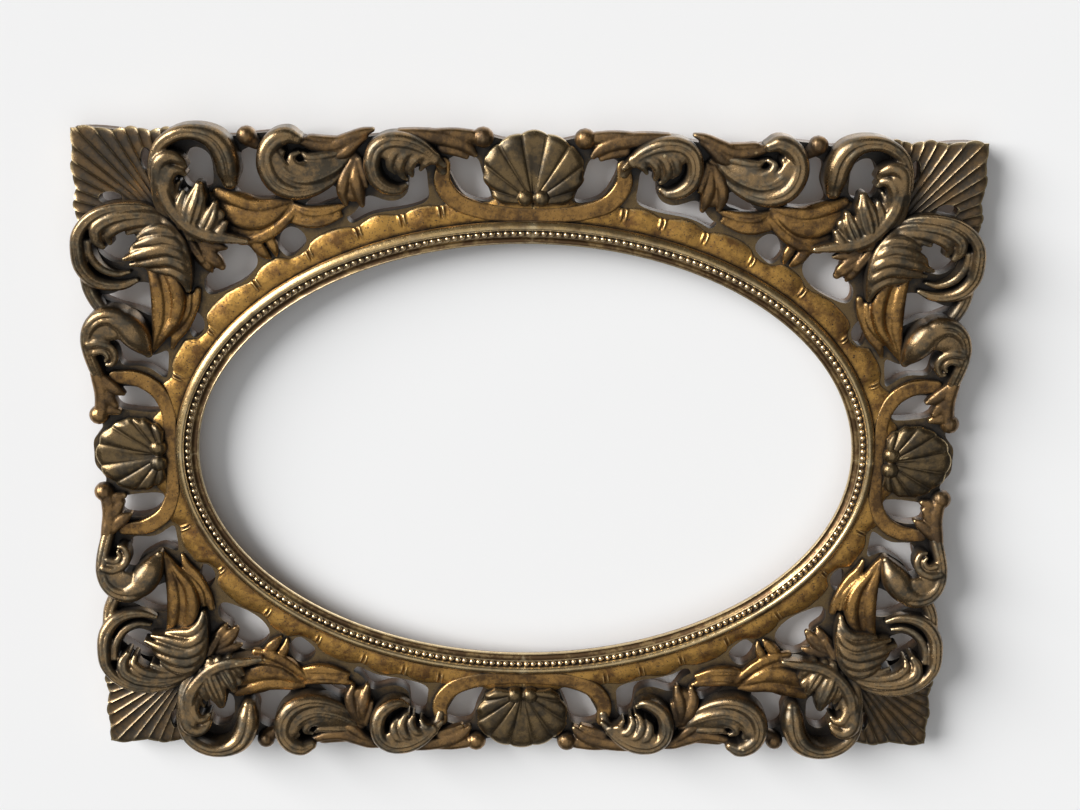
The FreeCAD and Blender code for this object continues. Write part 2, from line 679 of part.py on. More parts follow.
# Wall bumpers: four felt discs glued behind the corners
def felt_bumpers():
    discs = []
    for name, side, up in QUARTERS:
        disc = doc.addObject("Part::Cylinder", "bumper_" + name)
        disc.setExpression("Radius", "Sizes.bumper_radius")
        disc.setExpression("Height", "Sizes.bumper_thickness")
        disc.Placement = Placement(Vector(), Rotation(Vector(1, 0, 0), 90))
        edge_x = "(Sizes.outer_width / 2 - Sizes.bumper_inset)"
        edge_z = "(Sizes.outer_height / 2 - Sizes.bumper_inset)"
        disc.setExpression("Placement.Base.x", str(side) + " * " + edge_x)
        disc.setExpression("Placement.Base.z", str(up) + " * " + edge_z)
        discs.append(disc)
    bumpers = doc.addObject("Part::Compound", "felt_bumpers")
    bumpers.Links = discs
    bumpers.Label = "felt_bumpers"
    return bumpers


def origin_plane(body, role):
    return next(plane for plane in body.Origin.OriginFeatures if plane.Role == role)


def bind(sketch, constraint, expression):
    """A named sketch constraint that follows the sheet."""
    index = sketch.addConstraint(constraint)
    label = "bound_" + str(index)
    sketch.renameConstraint(index, label)
    sketch.setExpression("Constraints." + label, expression)


# Turn buttons: flat brass tongues that swing over the picture's back. Each is a
# rounded strip with a hole for its screw near one end.
def turn_button():
    body = doc.addObject("PartDesign::Body", "turn_button_pattern")
    outline = body.newObject("Sketcher::SketchObject", "button_outline")
    outline.AttachmentSupport = [(origin_plane(body, "XZ_Plane"), "")]
    outline.MapMode = "FlatFace"
    radius = size("button_width") / 2
    reach = size("button_reach") - radius
    up = Vector(0, radius, 0)
    tip = Vector(reach, 0, 0)
    near = outline.addGeometry(
        Part.ArcOfCircle(Part.Circle(Vector(), Vector(0, 0, 1), radius), math.pi / 2, 3 * math.pi / 2))
    far = outline.addGeometry(
        Part.ArcOfCircle(Part.Circle(tip, Vector(0, 0, 1), radius), -math.pi / 2, math.pi / 2))
    top = outline.addGeometry(Part.LineSegment(up, tip + up))
    low = outline.addGeometry(Part.LineSegment(-up, tip - up))
    outline.addConstraint(Sketcher.Constraint("Coincident", near, 3, -1, 1))
    outline.addConstraint(Sketcher.Constraint("PointOnObject", far, 3, -1))
    outline.addConstraint(Sketcher.Constraint("Tangent", near, 1, top, 1))
    outline.addConstraint(Sketcher.Constraint("Tangent", near, 2, low, 1))
    outline.addConstraint(Sketcher.Constraint("Tangent", far, 2, top, 2))
    outline.addConstraint(Sketcher.Constraint("Tangent", far, 1, low, 2))
    bind(outline, Sketcher.Constraint("Radius", near, radius), "Sizes.button_width / 2")
    bind(outline, Sketcher.Constraint("DistanceX", -1, 1, far, 3, reach),
         "Sizes.button_reach - Sizes.button_width / 2")
    pad = body.newObject("PartDesign::Pad", "button_strip")
    pad.Profile = outline
    pad.setExpression("Length", "Sizes.button_thickness")
    doc.recompute()
    pivot = body.newObject("Sketcher::SketchObject", "button_pivot")
    pivot.AttachmentSupport = [(origin_plane(body, "XZ_Plane"), "")]
    pivot.MapMode = "FlatFace"
    hole_radius = size("screw_shank_radius") + size("running_gap")
    circle = pivot.addGeometry(Part.Circle(Vector(), Vector(0, 0, 1), hole_radius))
    pivot.addConstraint(Sketcher.Constraint("Coincident", circle, 3, -1, 1))
    bind(pivot, Sketcher.Constraint("Radius", circle, hole_radius),
         "Sizes.screw_shank_radius + Sizes.running_gap")
    pocket = body.newObject("PartDesign::Pocket", "button_hole")
    pocket.Profile = pivot
    pocket.Type = "ThroughAll"
    pocket.Midplane = True
    doc.recompute()
    return body


def turn_buttons():
    pattern = turn_button()
    lift = board_back - size("running_gap") - size("button_thickness")
    names = ("turn_button_top", "turn_button_bottom", "turn_button_right", "turn_button_left")
    for name, (place, turn) in zip(names, button_places()):
        parked = Placement(at(place, lift), Rotation(Vector(0, 1, 0), -turn))
        add_piece(name, pattern.Shape.copy(), parked)


# Screws: identical round-head wood screws for the hangers and the turn buttons
def screw():
    body = doc.addObject("PartDesign::Body", "screw_pattern")
    profile = body.newObject("Sketcher::SketchObject", "screw_profile")
    profile.AttachmentSupport = [(origin_plane(body, "XY_Plane"), "")]
    profile.MapMode = "FlatFace"
    shank = size("screw_shank_radius")
    length = size("screw_shank_length")
    head = size("screw_head_radius")
    rise = size("screw_head_height")
    corners = [Vector(0, -length, 0), Vector(shank, -length, 0), Vector(shank, 0, 0),
               Vector(head, 0, 0), Vector(head, rise, 0), Vector(0, rise, 0)]
    ends = corners[1:] + corners[:1]
    lines = [profile.addGeometry(Part.LineSegment(a, b)) for a, b in zip(corners, ends)]
    for line, following in zip(lines, lines[1:] + lines[:1]):
        profile.addConstraint(Sketcher.Constraint("Coincident", line, 2, following, 1))
    for line in (lines[0], lines[2], lines[4]):
        profile.addConstraint(Sketcher.Constraint("Horizontal", line))
    for line in (lines[1], lines[3]):
        profile.addConstraint(Sketcher.Constraint("Vertical", line))
    profile.addConstraint(Sketcher.Constraint("PointOnObject", lines[5], 1, -2))
    profile.addConstraint(Sketcher.Constraint("PointOnObject", lines[5], 2, -2))
    profile.addConstraint(Sketcher.Constraint("PointOnObject", lines[1], 2, -1))
    bind(profile, Sketcher.Constraint("DistanceX", -1, 1, lines[1], 1, shank),
         "Sizes.screw_shank_radius")
    bind(profile, Sketcher.Constraint("DistanceX", -1, 1, lines[3], 1, head),
         "Sizes.screw_head_radius")
    bind(profile, Sketcher.Constraint("DistanceY", lines[0], 2, -1, 1, length),
         "Sizes.screw_shank_length")
    bind(profile, Sketcher.Constraint("DistanceY", -1, 1, lines[3], 2, rise),
         "Sizes.screw_head_height")
    turned = body.newObject("PartDesign::Revolution", "screw_turned")
    turned.Profile = profile
    turned.ReferenceAxis = (profile, ["V_Axis"])
    turned.Angle = 360
    doc.recompute()
    return body


def mounting_screws():
    pattern = screw().Shape
    on_button = board_back - size("button_thickness") - 2 * size("running_gap")
    on_hanger = board_back - size("hanger_thickness")
    button_pivots = [place for place, turn in button_places()]
    screws = []
    for place in screw_places():
        seat = on_button if place in button_pivots else on_hanger
        copy = pattern.copy()
        copy.translate(at(place, seat))
        screws.append(copy)
    add_piece("mounting_screws", Part.makeCompound(screws))


# Hangers: a steel strap screwed behind each end of the top rail, rolled round the
# straight side of a wire ring that swings up to the wall hook
def ring_axis():
    bore = size("ring_wire_radius") + size("running_gap")
    loop = bore + size("hanger_thickness")
    return board_back - loop, size("hanger_top_place"), bore, loop


def hanger_strap():
    axis_height, axis_top, bore, loop = ring_axis()
    width = size("hanger_width")
    thickness = size("hanger_thickness")
    length = size("hanger_length")
    strip = Part.makeBox(width, thickness, length)
    strip.translate(Vector(-width / 2, -board_back, axis_top - length))
    tube = Part.makeCylinder(loop, width, Vector(-width / 2, -axis_height, axis_top), Vector(1, 0, 0))
    body = strip.fuse(tube)
    tools = [Part.makeCylinder(
        bore, width * 2, Vector(-width, -axis_height, axis_top), Vector(1, 0, 0))]
    side = size("hanger_side_place")
    for place in screw_places():
        if place[0] == side:
            start = Vector(0, -board_back - overrun, place[1])
            tools.append(Part.makeCylinder(
                size("screw_shank_radius"), overrun * 2, start, Vector(0, 1, 0)))
    return largest_solid(body.cut(tools))


def hanger_ring():
    """A closed D of wire that hangs below its straight side."""
    axis_height, axis_top, bore, loop = ring_axis()
    half = size("ring_inner_width") / 2 + size("ring_wire_radius")
    bend = 2 * size("ring_wire_radius")
    leg = size("ring_leg")
    depth = -axis_height
    corner_drop = bend * (1 - math.sqrt(0.5))

    def spot(x, drop):
        return Vector(x, depth, axis_top - drop)

    right_corner = Part.Arc(
        spot(half - bend, 0), spot(half - corner_drop, corner_drop), spot(half, bend))
    left_corner = Part.Arc(
        spot(-half, bend), spot(-half + corner_drop, corner_drop), spot(-half + bend, 0))
    bow = Part.Arc(spot(half, leg), spot(0, leg + half), spot(-half, leg))
    edges = [
        Part.makeLine(spot(0, 0), spot(half - bend, 0)),
        right_corner.toShape(),
        Part.makeLine(spot(half, bend), spot(half, leg)),
        bow.toShape(),
        Part.makeLine(spot(-half, leg), spot(-half, bend)),
        left_corner.toShape(),
        Part.makeLine(spot(-half + bend, 0), spot(0, 0)),
    ]
    section = Part.Wire(Part.makeCircle(size("ring_wire_radius"), spot(0, 0), Vector(1, 0, 0)))
    sweep = Part.BRepOffsetAPI.MakePipeShell(Part.Wire(edges))
    sweep.add(section, False, False)
    sweep.build()
    sweep.makeSolid()
    return sweep.shape()


def hangers():
    for name, sign in (("left", -1), ("right", 1)):
        place = Placement(Vector(sign * size("hanger_side_place"), 0, 0), Rotation())
        add_piece("hanger_strap_" + name, hanger_strap(), place)
        add_piece("hanger_ring_" + name, hanger_ring(), place)


ground_boards()
oval_moulding()
pearl_beading()
room_taken = quarter_carvings()
middle_carvings(room_taken)
felt_bumpers()
turn_buttons()
mounting_screws()
hangers()
doc.recompute()


# Every piece is checked, then written under its own name
os.makedirs("parts", exist_ok=True)
pieces = []
for thing in doc.Objects:
    if "Invalid" in thing.State or "Error" in thing.State:
        raise RuntimeError(thing.Name + " did not compute: " + str(thing.State))
    if thing.TypeId in ("Part::Feature", "Part::Compound"):
        pieces.append(thing)
unsound = [piece.Label for piece in pieces if piece.Shape.isNull() or not piece.Shape.isValid()]
if unsound:
    raise RuntimeError("no sound shape: " + ", ".join(unsound))
for piece in pieces:
    piece.Shape.exportStep("parts/" + piece.Label + ".step")
    box = piece.Shape.BoundBox
    print(piece.Label, len(piece.Shape.Solids), round(piece.Shape.Volume, 1),
          [round(v, 2) for v in (box.XMin, box.XMax, box.YMin, box.YMax, box.ZMin, box.ZMax)])
print(len(pieces), "pieces")
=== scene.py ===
import math
import bpy
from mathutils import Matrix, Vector


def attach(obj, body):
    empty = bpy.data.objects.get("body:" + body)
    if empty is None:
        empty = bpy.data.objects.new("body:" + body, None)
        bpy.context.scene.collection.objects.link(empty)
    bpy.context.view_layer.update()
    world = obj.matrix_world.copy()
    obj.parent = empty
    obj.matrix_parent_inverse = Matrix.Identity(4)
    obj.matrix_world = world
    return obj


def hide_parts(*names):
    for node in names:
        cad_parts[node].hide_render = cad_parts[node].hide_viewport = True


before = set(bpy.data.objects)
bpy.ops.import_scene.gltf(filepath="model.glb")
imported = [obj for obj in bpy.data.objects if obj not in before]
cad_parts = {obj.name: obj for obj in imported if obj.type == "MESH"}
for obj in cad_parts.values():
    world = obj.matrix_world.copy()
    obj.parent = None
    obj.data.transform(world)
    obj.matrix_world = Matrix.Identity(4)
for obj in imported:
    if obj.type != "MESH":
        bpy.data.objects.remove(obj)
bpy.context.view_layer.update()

# Ground boards
# Two rails and two stiles of soft wood, mitred at the corners and pierced with a fretsaw.
# They are gilded on the front, where the gilding is painted near black as the shade of the
# deep ground between the carvings, and their backs are left as stained bare wood.
BOARDS = ("top_rail", "bottom_rail", "left_stile", "right_stile")


def add(tree, kind, inputs=None, **settings):
    node = tree.nodes.new(kind)
    for key, value in settings.items():
        setattr(node, key, value)
    for key, value in (inputs or {}).items():
        if isinstance(value, bpy.types.NodeSocket):
            tree.links.new(value, node.inputs[key])
        else:
            node.inputs[key].default_value = value
    return node


def calc(tree, operation, one, two=0.0, clamp=False):
    node = add(tree, "ShaderNodeMath", {0: one, 1: two}, operation=operation, use_clamp=clamp)
    return node.outputs[0]


def fade(tree, value, low, high):
    node = add(tree, "ShaderNodeMapRange", {"Value": value, "From Min": low, "From Max": high},
               interpolation_type="SMOOTHSTEP")
    return node.outputs[0]


def blend(tree, share, one, two):
    node = add(tree, "ShaderNodeMix", {0: share, 6: one, 7: two}, data_type="RGBA")
    return node.outputs[2]


def noise(tree, place, scale, detail=4.0, roughness=0.55):
    node = add(tree, "ShaderNodeTexNoise", {
        "Vector": place, "Scale": scale, "Detail": detail, "Roughness": roughness})
    return node.outputs["Fac"]


def effect(name, sockets_in, sockets_out):
    group = bpy.data.node_groups.new(name, "ShaderNodeTree")
    kinds = {float: "NodeSocketFloat", tuple: "NodeSocketColor"}
    for label, value in sockets_in:
        socket = group.interface.new_socket(
            name=label, in_out="INPUT", socket_type=kinds[type(value)])
        socket.default_value = value
    for label, value in sockets_out:
        group.interface.new_socket(name=label, in_out="OUTPUT", socket_type=kinds[type(value)])
    return group, add(group, "NodeGroupInput"), add(group, "NodeGroupOutput")


# The gilding is gold leaf on gesso, toned with bronze size and rubbed bright on the high
# edges, with dark grime and painted shade in the hollows and under the carvings, and small
# dark specks. All gilded pieces share it.
BLACK = (0.0, 0.0, 0.0, 1.0)
gilding, given, result = effect(
    "old_gilding",
    (("Gold", (0.6, 0.4, 0.15, 1.0)), ("Bronze", (0.2, 0.17, 0.1, 1.0)),
     ("Rubbed", (0.8, 0.6, 0.3, 1.0)), ("Shade_and_grime", (0.010, 0.007, 0.005, 1.0)),
     ("Openness", 1.0), ("Edge", 0.5), ("Bronzing", 0.5), ("Specks", 0.3), ("Hollow", 0.5),
     ("Mattness", 0.25), ("Toolmarks", 1.0)),
    (("Color", BLACK), ("Metallic", 0.0), ("Roughness", 0.0), ("Height", 0.0)))
spot = add(gilding, "ShaderNodeTexCoord").outputs["Object"]
patches = noise(gilding, spot, 62.0, 6.0, 0.7)
waves = noise(gilding, spot, 110.0, 2.0, 0.5)
blotches = noise(gilding, spot, 240.0, 5.0, 0.66)
grain = noise(gilding, spot, 1500.0, 3.0, 0.6)
dots = noise(gilding, spot, 820.0, 2.0, 0.6)
uneven = calc(gilding, "SUBTRACT", blotches, 0.5)

worn = calc(gilding, "MULTIPLY", uneven, 0.08)
worn = calc(gilding, "ADD", given.outputs["Edge"], worn)
worn = fade(gilding, worn, 0.508, 0.565)
# Painted shade: where the ambient occlusion (Openness) finds the surface closed in, in hollows
# and under nearby carvings, the colour goes towards the near-black shade and grime colour and the
# metal goes dull.
open_share = calc(gilding, "MULTIPLY", uneven, 0.7)
open_share = calc(gilding, "ADD", given.outputs["Openness"], open_share)
sunk = fade(gilding, open_share,
            calc(gilding, "SUBTRACT", given.outputs["Hollow"], 0.26),
            calc(gilding, "ADD", given.outputs["Hollow"], 0.2))
sunk = calc(gilding, "SUBTRACT", 1.0, sunk)
speck = calc(gilding, "MULTIPLY", fade(gilding, dots, 0.60, 0.68), given.outputs["Specks"])
specks_and_painted_shade = calc(gilding, "MAXIMUM", sunk, speck)

toned = calc(gilding, "MULTIPLY", calc(gilding, "SUBTRACT", patches, 0.5), 5.0)
toned = calc(gilding, "ADD", toned, given.outputs["Bronzing"])
toned = calc(gilding, "ADD", toned, calc(gilding, "MULTIPLY", uneven, 2.2), clamp=True)
coloured = blend(gilding, toned, given.outputs["Gold"], given.outputs["Bronze"])
coloured = blend(gilding, calc(gilding, "MULTIPLY", worn, 0.75), coloured,
                 given.outputs["Rubbed"])
coloured = blend(gilding, specks_and_painted_shade, coloured, given.outputs["Shade_and_grime"])
shine = calc(gilding, "SUBTRACT", 1.0, calc(gilding, "MULTIPLY", specks_and_painted_shade, 0.7))

matt = calc(gilding, "ADD", calc(gilding, "MULTIPLY", toned, 0.10),
            calc(gilding, "MULTIPLY", specks_and_painted_shade, 0.25))
matt = calc(gilding, "ADD", matt, calc(gilding, "MULTIPLY", blotches, 0.14))
matt = calc(gilding, "SUBTRACT", matt, calc(gilding, "MULTIPLY", worn, 0.06))
matt = calc(gilding, "ADD", matt, given.outputs["Mattness"])
lumps = calc(gilding, "ADD", calc(gilding, "MULTIPLY", blotches, 0.5),
             calc(gilding, "MULTIPLY", grain, 0.12))
lumps = calc(gilding, "ADD", lumps, calc(gilding, "MULTIPLY", waves, given.outputs["Toolmarks"]))
lumps = calc(gilding, "SUBTRACT", lumps, calc(gilding, "MULTIPLY", speck, 0.35))
for label, value in (
        ("Color", coloured), ("Metallic", shine), ("Roughness", matt), ("Height", lumps)):
    gilding.links.new(value, result.inputs[label])


def new_finish(name):
    material = bpy.data.materials.new(name)
    material.use_nodes = True
    tree = material.node_tree
    return material, tree, tree.nodes["Principled BSDF"]


def gilded(name, gold, bronze, rubbed, bronzing, specks, hollow=0.7, reach=0.006,
           mattness=0.2, bump=0.5, toolmarks=0.8):
    """A gilded finish: its three golds, the share of each effect and the reach of the painted
    shade and grime.
    """
    material, tree, shader = new_finish(name)
    # Painted shade: ambient occlusion within the reach darkens hollows and the ground under the
    # carvings.
    shade = add(tree, "ShaderNodeAmbientOcclusion", {"Distance": reach}, samples=6)
    shape = add(tree, "ShaderNodeNewGeometry")
    leaf = add(tree, "ShaderNodeGroup", {
        "Gold": gold, "Bronze": bronze, "Rubbed": rubbed, "Bronzing": bronzing,
        "Specks": specks, "Hollow": hollow, "Mattness": mattness, "Toolmarks": toolmarks,
        "Openness": shade.outputs["AO"],
        "Edge": shape.outputs["Pointiness"]}, node_tree=gilding)
    relief = add(tree, "ShaderNodeBump", {
        "Strength": bump, "Distance": 0.0010, "Height": leaf.outputs["Height"]})
    for source, target in (
            ("Color", "Base Color"), ("Metallic", "Metallic"), ("Roughness", "Roughness")):
        tree.links.new(leaf.outputs[source], shader.inputs[target])
    tree.links.new(relief.outputs["Normal"], shader.inputs["Normal"])
    shader.inputs["Coat Weight"].default_value = 0.15
    shader.inputs["Coat Roughness"].default_value = 0.28
    return material


def board_painted_shade_and_wood(name, along_grain):
    """Gilding painted near black in front as the shade of the deep ground, and stained bare wood
    behind, with the grain run as given.
    """
    # Painted shade: the front colours are near black, standing in for the shade of the deep
    # ground between the carvings, and the long occlusion reach darkens it further under them.
    material = gilded(name, (0.12, 0.07, 0.03, 1), (0.05, 0.036, 0.022, 1),
                      (0.24, 0.16, 0.07, 1), bronzing=0.5, specks=0.4, hollow=0.80, reach=0.016)
    tree = material.node_tree
    shader = tree.nodes["Principled BSDF"]
    spot = add(tree, "ShaderNodeTexCoord").outputs["Object"]
    depth = add(tree, "ShaderNodeSeparateXYZ", {0: spot}).outputs["Y"]
    behind = fade(tree, depth, -0.0150, -0.0075)
    stretched = add(tree, "ShaderNodeMapping", {"Vector": spot, "Scale": along_grain}).outputs[0]
    streaks = noise(tree, stretched, 1.0, 6.0, 0.65)
    fibres = noise(tree, stretched, 7.0, 3.0, 0.6)
    bare = blend(tree, fade(tree, streaks, 0.3, 0.7),
                 (0.075, 0.036, 0.016, 1), (0.17, 0.095, 0.045, 1))
    pores = calc(tree, "MULTIPLY", fade(tree, fibres, 0.45, 0.75), 0.5)
    bare = blend(tree, pores, bare, (0.03, 0.014, 0.007, 1))
    for socket_name, wood in (("Base Color", bare), ("Metallic", 0.0), ("Roughness", 0.68)):
        front = shader.inputs[socket_name].links[0].from_socket
        if socket_name == "Base Color":
            mixed = blend(tree, behind, front, wood)
        else:
            mixed = add(tree, "ShaderNodeMix", {0: behind, 2: front, 3: wood}).outputs[0]
        tree.links.new(mixed, shader.inputs[socket_name])
    return material


def coat(piece, material):
    piece.data.materials.clear()
    piece.data.materials.append(material)


rail_painted_shade_and_wood = board_painted_shade_and_wood("rail_gilt_painted_shade_and_wood", (12.0, 60.0, 190.0))
stile_painted_shade_and_wood = board_painted_shade_and_wood("stile_gilt_painted_shade_and_wood", (190.0, 60.0, 12.0))
for name in BOARDS:
    coat(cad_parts[name], rail_painted_shade_and_wood if "rail" in name else stile_painted_shade_and_wood)

# Scalloped band
# A row of low pillows with nicks between them, carved in the boards beside the oval and
# gilded brighter than the rest of the ground, which is painted near black as shade. The
# moulding covers its inner edge.
QUARTERS = (
    ("top_right", 1, 1),
    ("top_left", -1, 1),
    ("bottom_right", 1, -1),
    ("bottom_left", -1, -1),
)
BOARD_FRONT = 17.0
SINK = 0.4
SEAT = BOARD_FRONT - SINK


def at(x, z, height):
    """A point given in millimetres: across, up, and off the wall."""
    return Vector((x, -height, z)) / 1000


def pick(piece):
    bpy.ops.object.select_all(action="DESELECT")
    piece.select_set(True)
    bpy.context.view_layer.objects.active = piece


def put_in_scene(name, data):
    thing = bpy.data.objects.new(name, data)
    bpy.context.scene.collection.objects.link(thing)
    return thing


def mesh_piece(name, places, faces):
    mesh = bpy.data.meshes.new(name)
    mesh.from_pydata(places, [], faces)
    piece = put_in_scene(name, mesh)
    pick(piece)
    bpy.ops.object.mode_set(mode="EDIT")
    bpy.ops.mesh.select_all(action="SELECT")
    bpy.ops.mesh.normals_make_consistent(inside=False)
    bpy.ops.object.mode_set(mode="OBJECT")
    bpy.ops.object.shade_smooth()
    return piece


def relief_grid(name, rows, columns, place, seat=SEAT):
    """A carved skin over rows by columns of places, with upright sides and a flat back."""
    top = [place(row / rows, column / columns)
           for row in range(rows + 1) for column in range(columns + 1)]
    count = len(top)
    places = [at(*spot) for spot in top] + [at(x, z, seat) for x, z, height in top]
    wide = columns + 1
    faces = []
    for row in range(rows):
        for column in range(columns):
            corner = row * wide + column
            quad = (corner, corner + 1, corner + wide + 1, corner + wide)
            faces.append(quad)
            faces.append(tuple(count + spot for spot in reversed(quad)))
    rim = [(0, column) for column in range(columns)]
    rim += [(row, columns) for row in range(rows)]
    rim += [(rows, column) for column in range(columns, 0, -1)]
    rim += [(row, 0) for row in range(rows, 0, -1)]
    spots = [row * wide + column for row, column in rim]
    for one, two in zip(spots, spots[1:] + spots[:1]):
        faces.append((one, two, count + two, count + one))
    return mesh_piece(name, places, faces)


def finish_piece(piece, name, material, slot_name, *nodes):
    piece.name = name
    piece.data.name = name
    coat(piece, material)
    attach(piece, "frame")
    if nodes:
        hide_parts(*nodes)
    return piece


def quarter_copies(piece, name, material, slot_name, node=None):
    """The carving of the top right quarter, copied and turned over into all four."""
    for quarter, side, up in QUARTERS:
        copy = piece.copy()
        copy.data = piece.data.copy()
        bpy.context.scene.collection.objects.link(copy)
        for vertex in copy.data.vertices:
            vertex.co.x *= side
            vertex.co.z *= up
        if side * up < 0:
            copy.data.flip_normals()
        nodes = [node + "_" + quarter] if node else []
        finish_piece(copy, name + "_" + quarter, material, slot_name, *nodes)
    bpy.data.objects.remove(piece)


SIGHT_SIDE = 228.5
SIGHT_TOP = 152.5
MOULDING_WIDTH = 15.0
MOULDING_SIDE = SIGHT_SIDE + MOULDING_WIDTH
MOULDING_TOP = SIGHT_TOP + MOULDING_WIDTH
BAND_WIDTH = 19.0
BAND_CLEARANCE = 0.9
BAND_CROWN = 2.7
PILLOW_EDGE = 7.0
RUN_PER_TURN = 200
NICKS = ((63, 173), (90, 167), (120, 158), (155, 144), (191, 121), (222, 88), (239, 53))
NICK_REACH = 0.022
NICK_DEPTH = 0.9
NICK_WIDTH = 0.7
FOLD_HEIGHT = 1.1
FOLD_PLACE = 1.3
FOLD_WIDTH = 0.8
FINE_TURN = 0.0018
PLAIN_TURN = 0.006
nick_turns = [math.atan2(z / MOULDING_TOP, x / MOULDING_SIDE) for x, z in NICKS]


def beside_oval(side, top, turn, out):
    """Across and up, for a place that lies square out from an oval."""
    across = Vector((math.cos(turn) / side, math.sin(turn) / top))
    across.normalize()
    return side * math.cos(turn) + across.x * out, top * math.sin(turn) + across.y * out


def beside_moulding(turn, out):
    return beside_oval(MOULDING_SIDE, MOULDING_TOP, turn, out)


def over_board(x, z):
    for name in BOARDS:
        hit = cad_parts[name].ray_cast(at(x, z, 30), Vector((0, 1, 0)), distance=0.02)
        if hit[0]:
            return True
    return False


def free_width(turn):
    """How far the ground runs out from the moulding before a piercing."""
    out = 0.5
    while out < BAND_WIDTH and over_board(*beside_moulding(turn, out)):
        out += 0.5
    return max(out - BAND_CLEARANCE, 0.6)


def neighbours(values, index):
    return values[max(0, index - 2):index + 3]


turns = []
turn = 0.0
while turn < math.pi / 2:
    turns.append(turn)
    nearest = min(abs(turn - nick) for nick in nick_turns)
    turn += FINE_TURN if nearest < NICK_REACH else PLAIN_TURN
turns.append(math.pi / 2)
widths = [free_width(turn) for turn in turns]
widths = [min(neighbours(widths, i)) for i in range(len(widths))]
widths = [sum(neighbours(widths, i)) / len(neighbours(widths, i)) for i in range(len(widths))]


def band_place(row, column):
    """Low pillows, parted at each nick by a sunk line with a raised fold on either side."""
    index = round(column * (len(turns) - 1))
    turn = turns[index]
    arc = min(abs(turn - nick) for nick in nick_turns) * RUN_PER_TURN
    cushion = 1.0 - math.exp(-(arc / PILLOW_EDGE) ** 2)
    crown = BAND_CROWN * math.sin(math.pi * (0.06 + row * 0.92) ** 0.85) ** 0.75
    outer = min(1.0, max(0.0, row * 4.0 - 1.5)) * min(1.0, (1.02 - row) * 8)
    fold = FOLD_HEIGHT * math.exp(-((arc - FOLD_PLACE) / FOLD_WIDTH) ** 2)
    fold -= NICK_DEPTH * math.exp(-(arc / NICK_WIDTH) ** 2)
    height = BOARD_FRONT + 0.2 + crown * (0.45 + 0.55 * cushion) + fold * outer
    x, z = beside_moulding(turn, row * widths[index] * (0.84 + 0.16 * cushion))
    return (x, z, max(height, SEAT + 0.3))


band = relief_grid("scalloped_band", 14, len(turns) - 1, band_place)
ground_gilt = gilded("ground_gilt", (0.58, 0.32, 0.08, 1), (0.19, 0.095, 0.032, 1),
                     (0.85, 0.58, 0.25, 1), bronzing=0.36, specks=1.0, hollow=0.62,
                     reach=0.012, mattness=0.28, bump=0.4, toolmarks=1.8)
quarter_copies(band, "scalloped_band", ground_gilt, "gilt_ground")

# Oval moulding
# Four turned quarter lengths of gilded moulding: a sight lip and a cove, both painted dark as
# shade, a flat ledge for the pearls and a fat outer torus. They are glued and pinned to the
# boards.
MOULDING_PROFILE = (
    (0.0, 0.3), (0.0, 1.5), (0.2, 1.95), (0.7, 2.2), (1.2, 2.0), (1.6, 1.6), (2.1, 1.35),
    (2.8, 1.35), (3.5, 1.6), (4.2, 2.1), (4.8, 2.8), (5.15, 3.25), (5.45, 3.35), (5.8, 3.2),
    (6.1, 3.1), (9.3, 3.1), (9.5, 3.3), (9.6, 4.1), (9.85, 5.3), (10.3, 6.3), (10.95, 6.95),
    (11.7, 7.2), (12.6, 7.05), (13.6, 6.6), (14.6, 6.0), (15.4, 5.25), (15.9, 4.4),
    (16.0, 3.7), (15.7, 3.0), (15.0, 2.4), (15.0, -0.4),
    (5.7, -0.4), (5.7, 0.3))
QUARTER_STEPS = 150


def ring_faces(rings, around):
    """Faces between closed rings of places, and over the first and the last ring."""
    faces = []
    for ring in range(rings - 1):
        for corner in range(around):
            near = ring * around + corner
            far = ring * around + (corner + 1) % around
            faces.append((near, far, far + around, near + around))
    faces.append(tuple(range(around)))
    faces.append(tuple((rings - 1) * around + corner for corner in range(around)))
    return faces


places = []
for step in range(QUARTER_STEPS + 1):
    turn = math.pi / 2 * step / QUARTER_STEPS
    for out, rise in MOULDING_PROFILE:
        x, z = beside_oval(SIGHT_SIDE, SIGHT_TOP, turn, out)
        places.append(at(x, z, BOARD_FRONT + rise))
faces = ring_faces(QUARTER_STEPS + 1, len(MOULDING_PROFILE))
moulding = mesh_piece("oval_moulding", places, faces)
pick(moulding)
bpy.ops.object.shade_smooth_by_angle(angle=math.radians(38))
moulding_gilt = gilded("moulding_gilt", (0.60, 0.41, 0.18, 1), (0.15, 0.085, 0.038, 1),
                       (0.90, 0.72, 0.43, 1), bronzing=0.34, specks=0.4, hollow=0.68,
                       reach=0.007, bump=0.25, toolmarks=0.2)
# Painted shade: the cove and the lip lie low and are painted darker than the torus, as the shade
# that the torus throws on them.
tree = moulding_gilt.node_tree
spot = add(tree, "ShaderNodeTexCoord").outputs["Object"]
depth = add(tree, "ShaderNodeSeparateXYZ", {0: spot}).outputs["Y"]
low = calc(tree, "MULTIPLY", fade(tree, depth, -0.0225, -0.0195), 0.75)
for node in tree.nodes:
    if node.type == "GROUP":
        tree.links.new(calc(tree, "ADD", low, 0.22), node.inputs["Bronzing"])
quarter_copies(moulding, "gilded_moulding", moulding_gilt, "gilt_moulding",
               "oval_moulding")

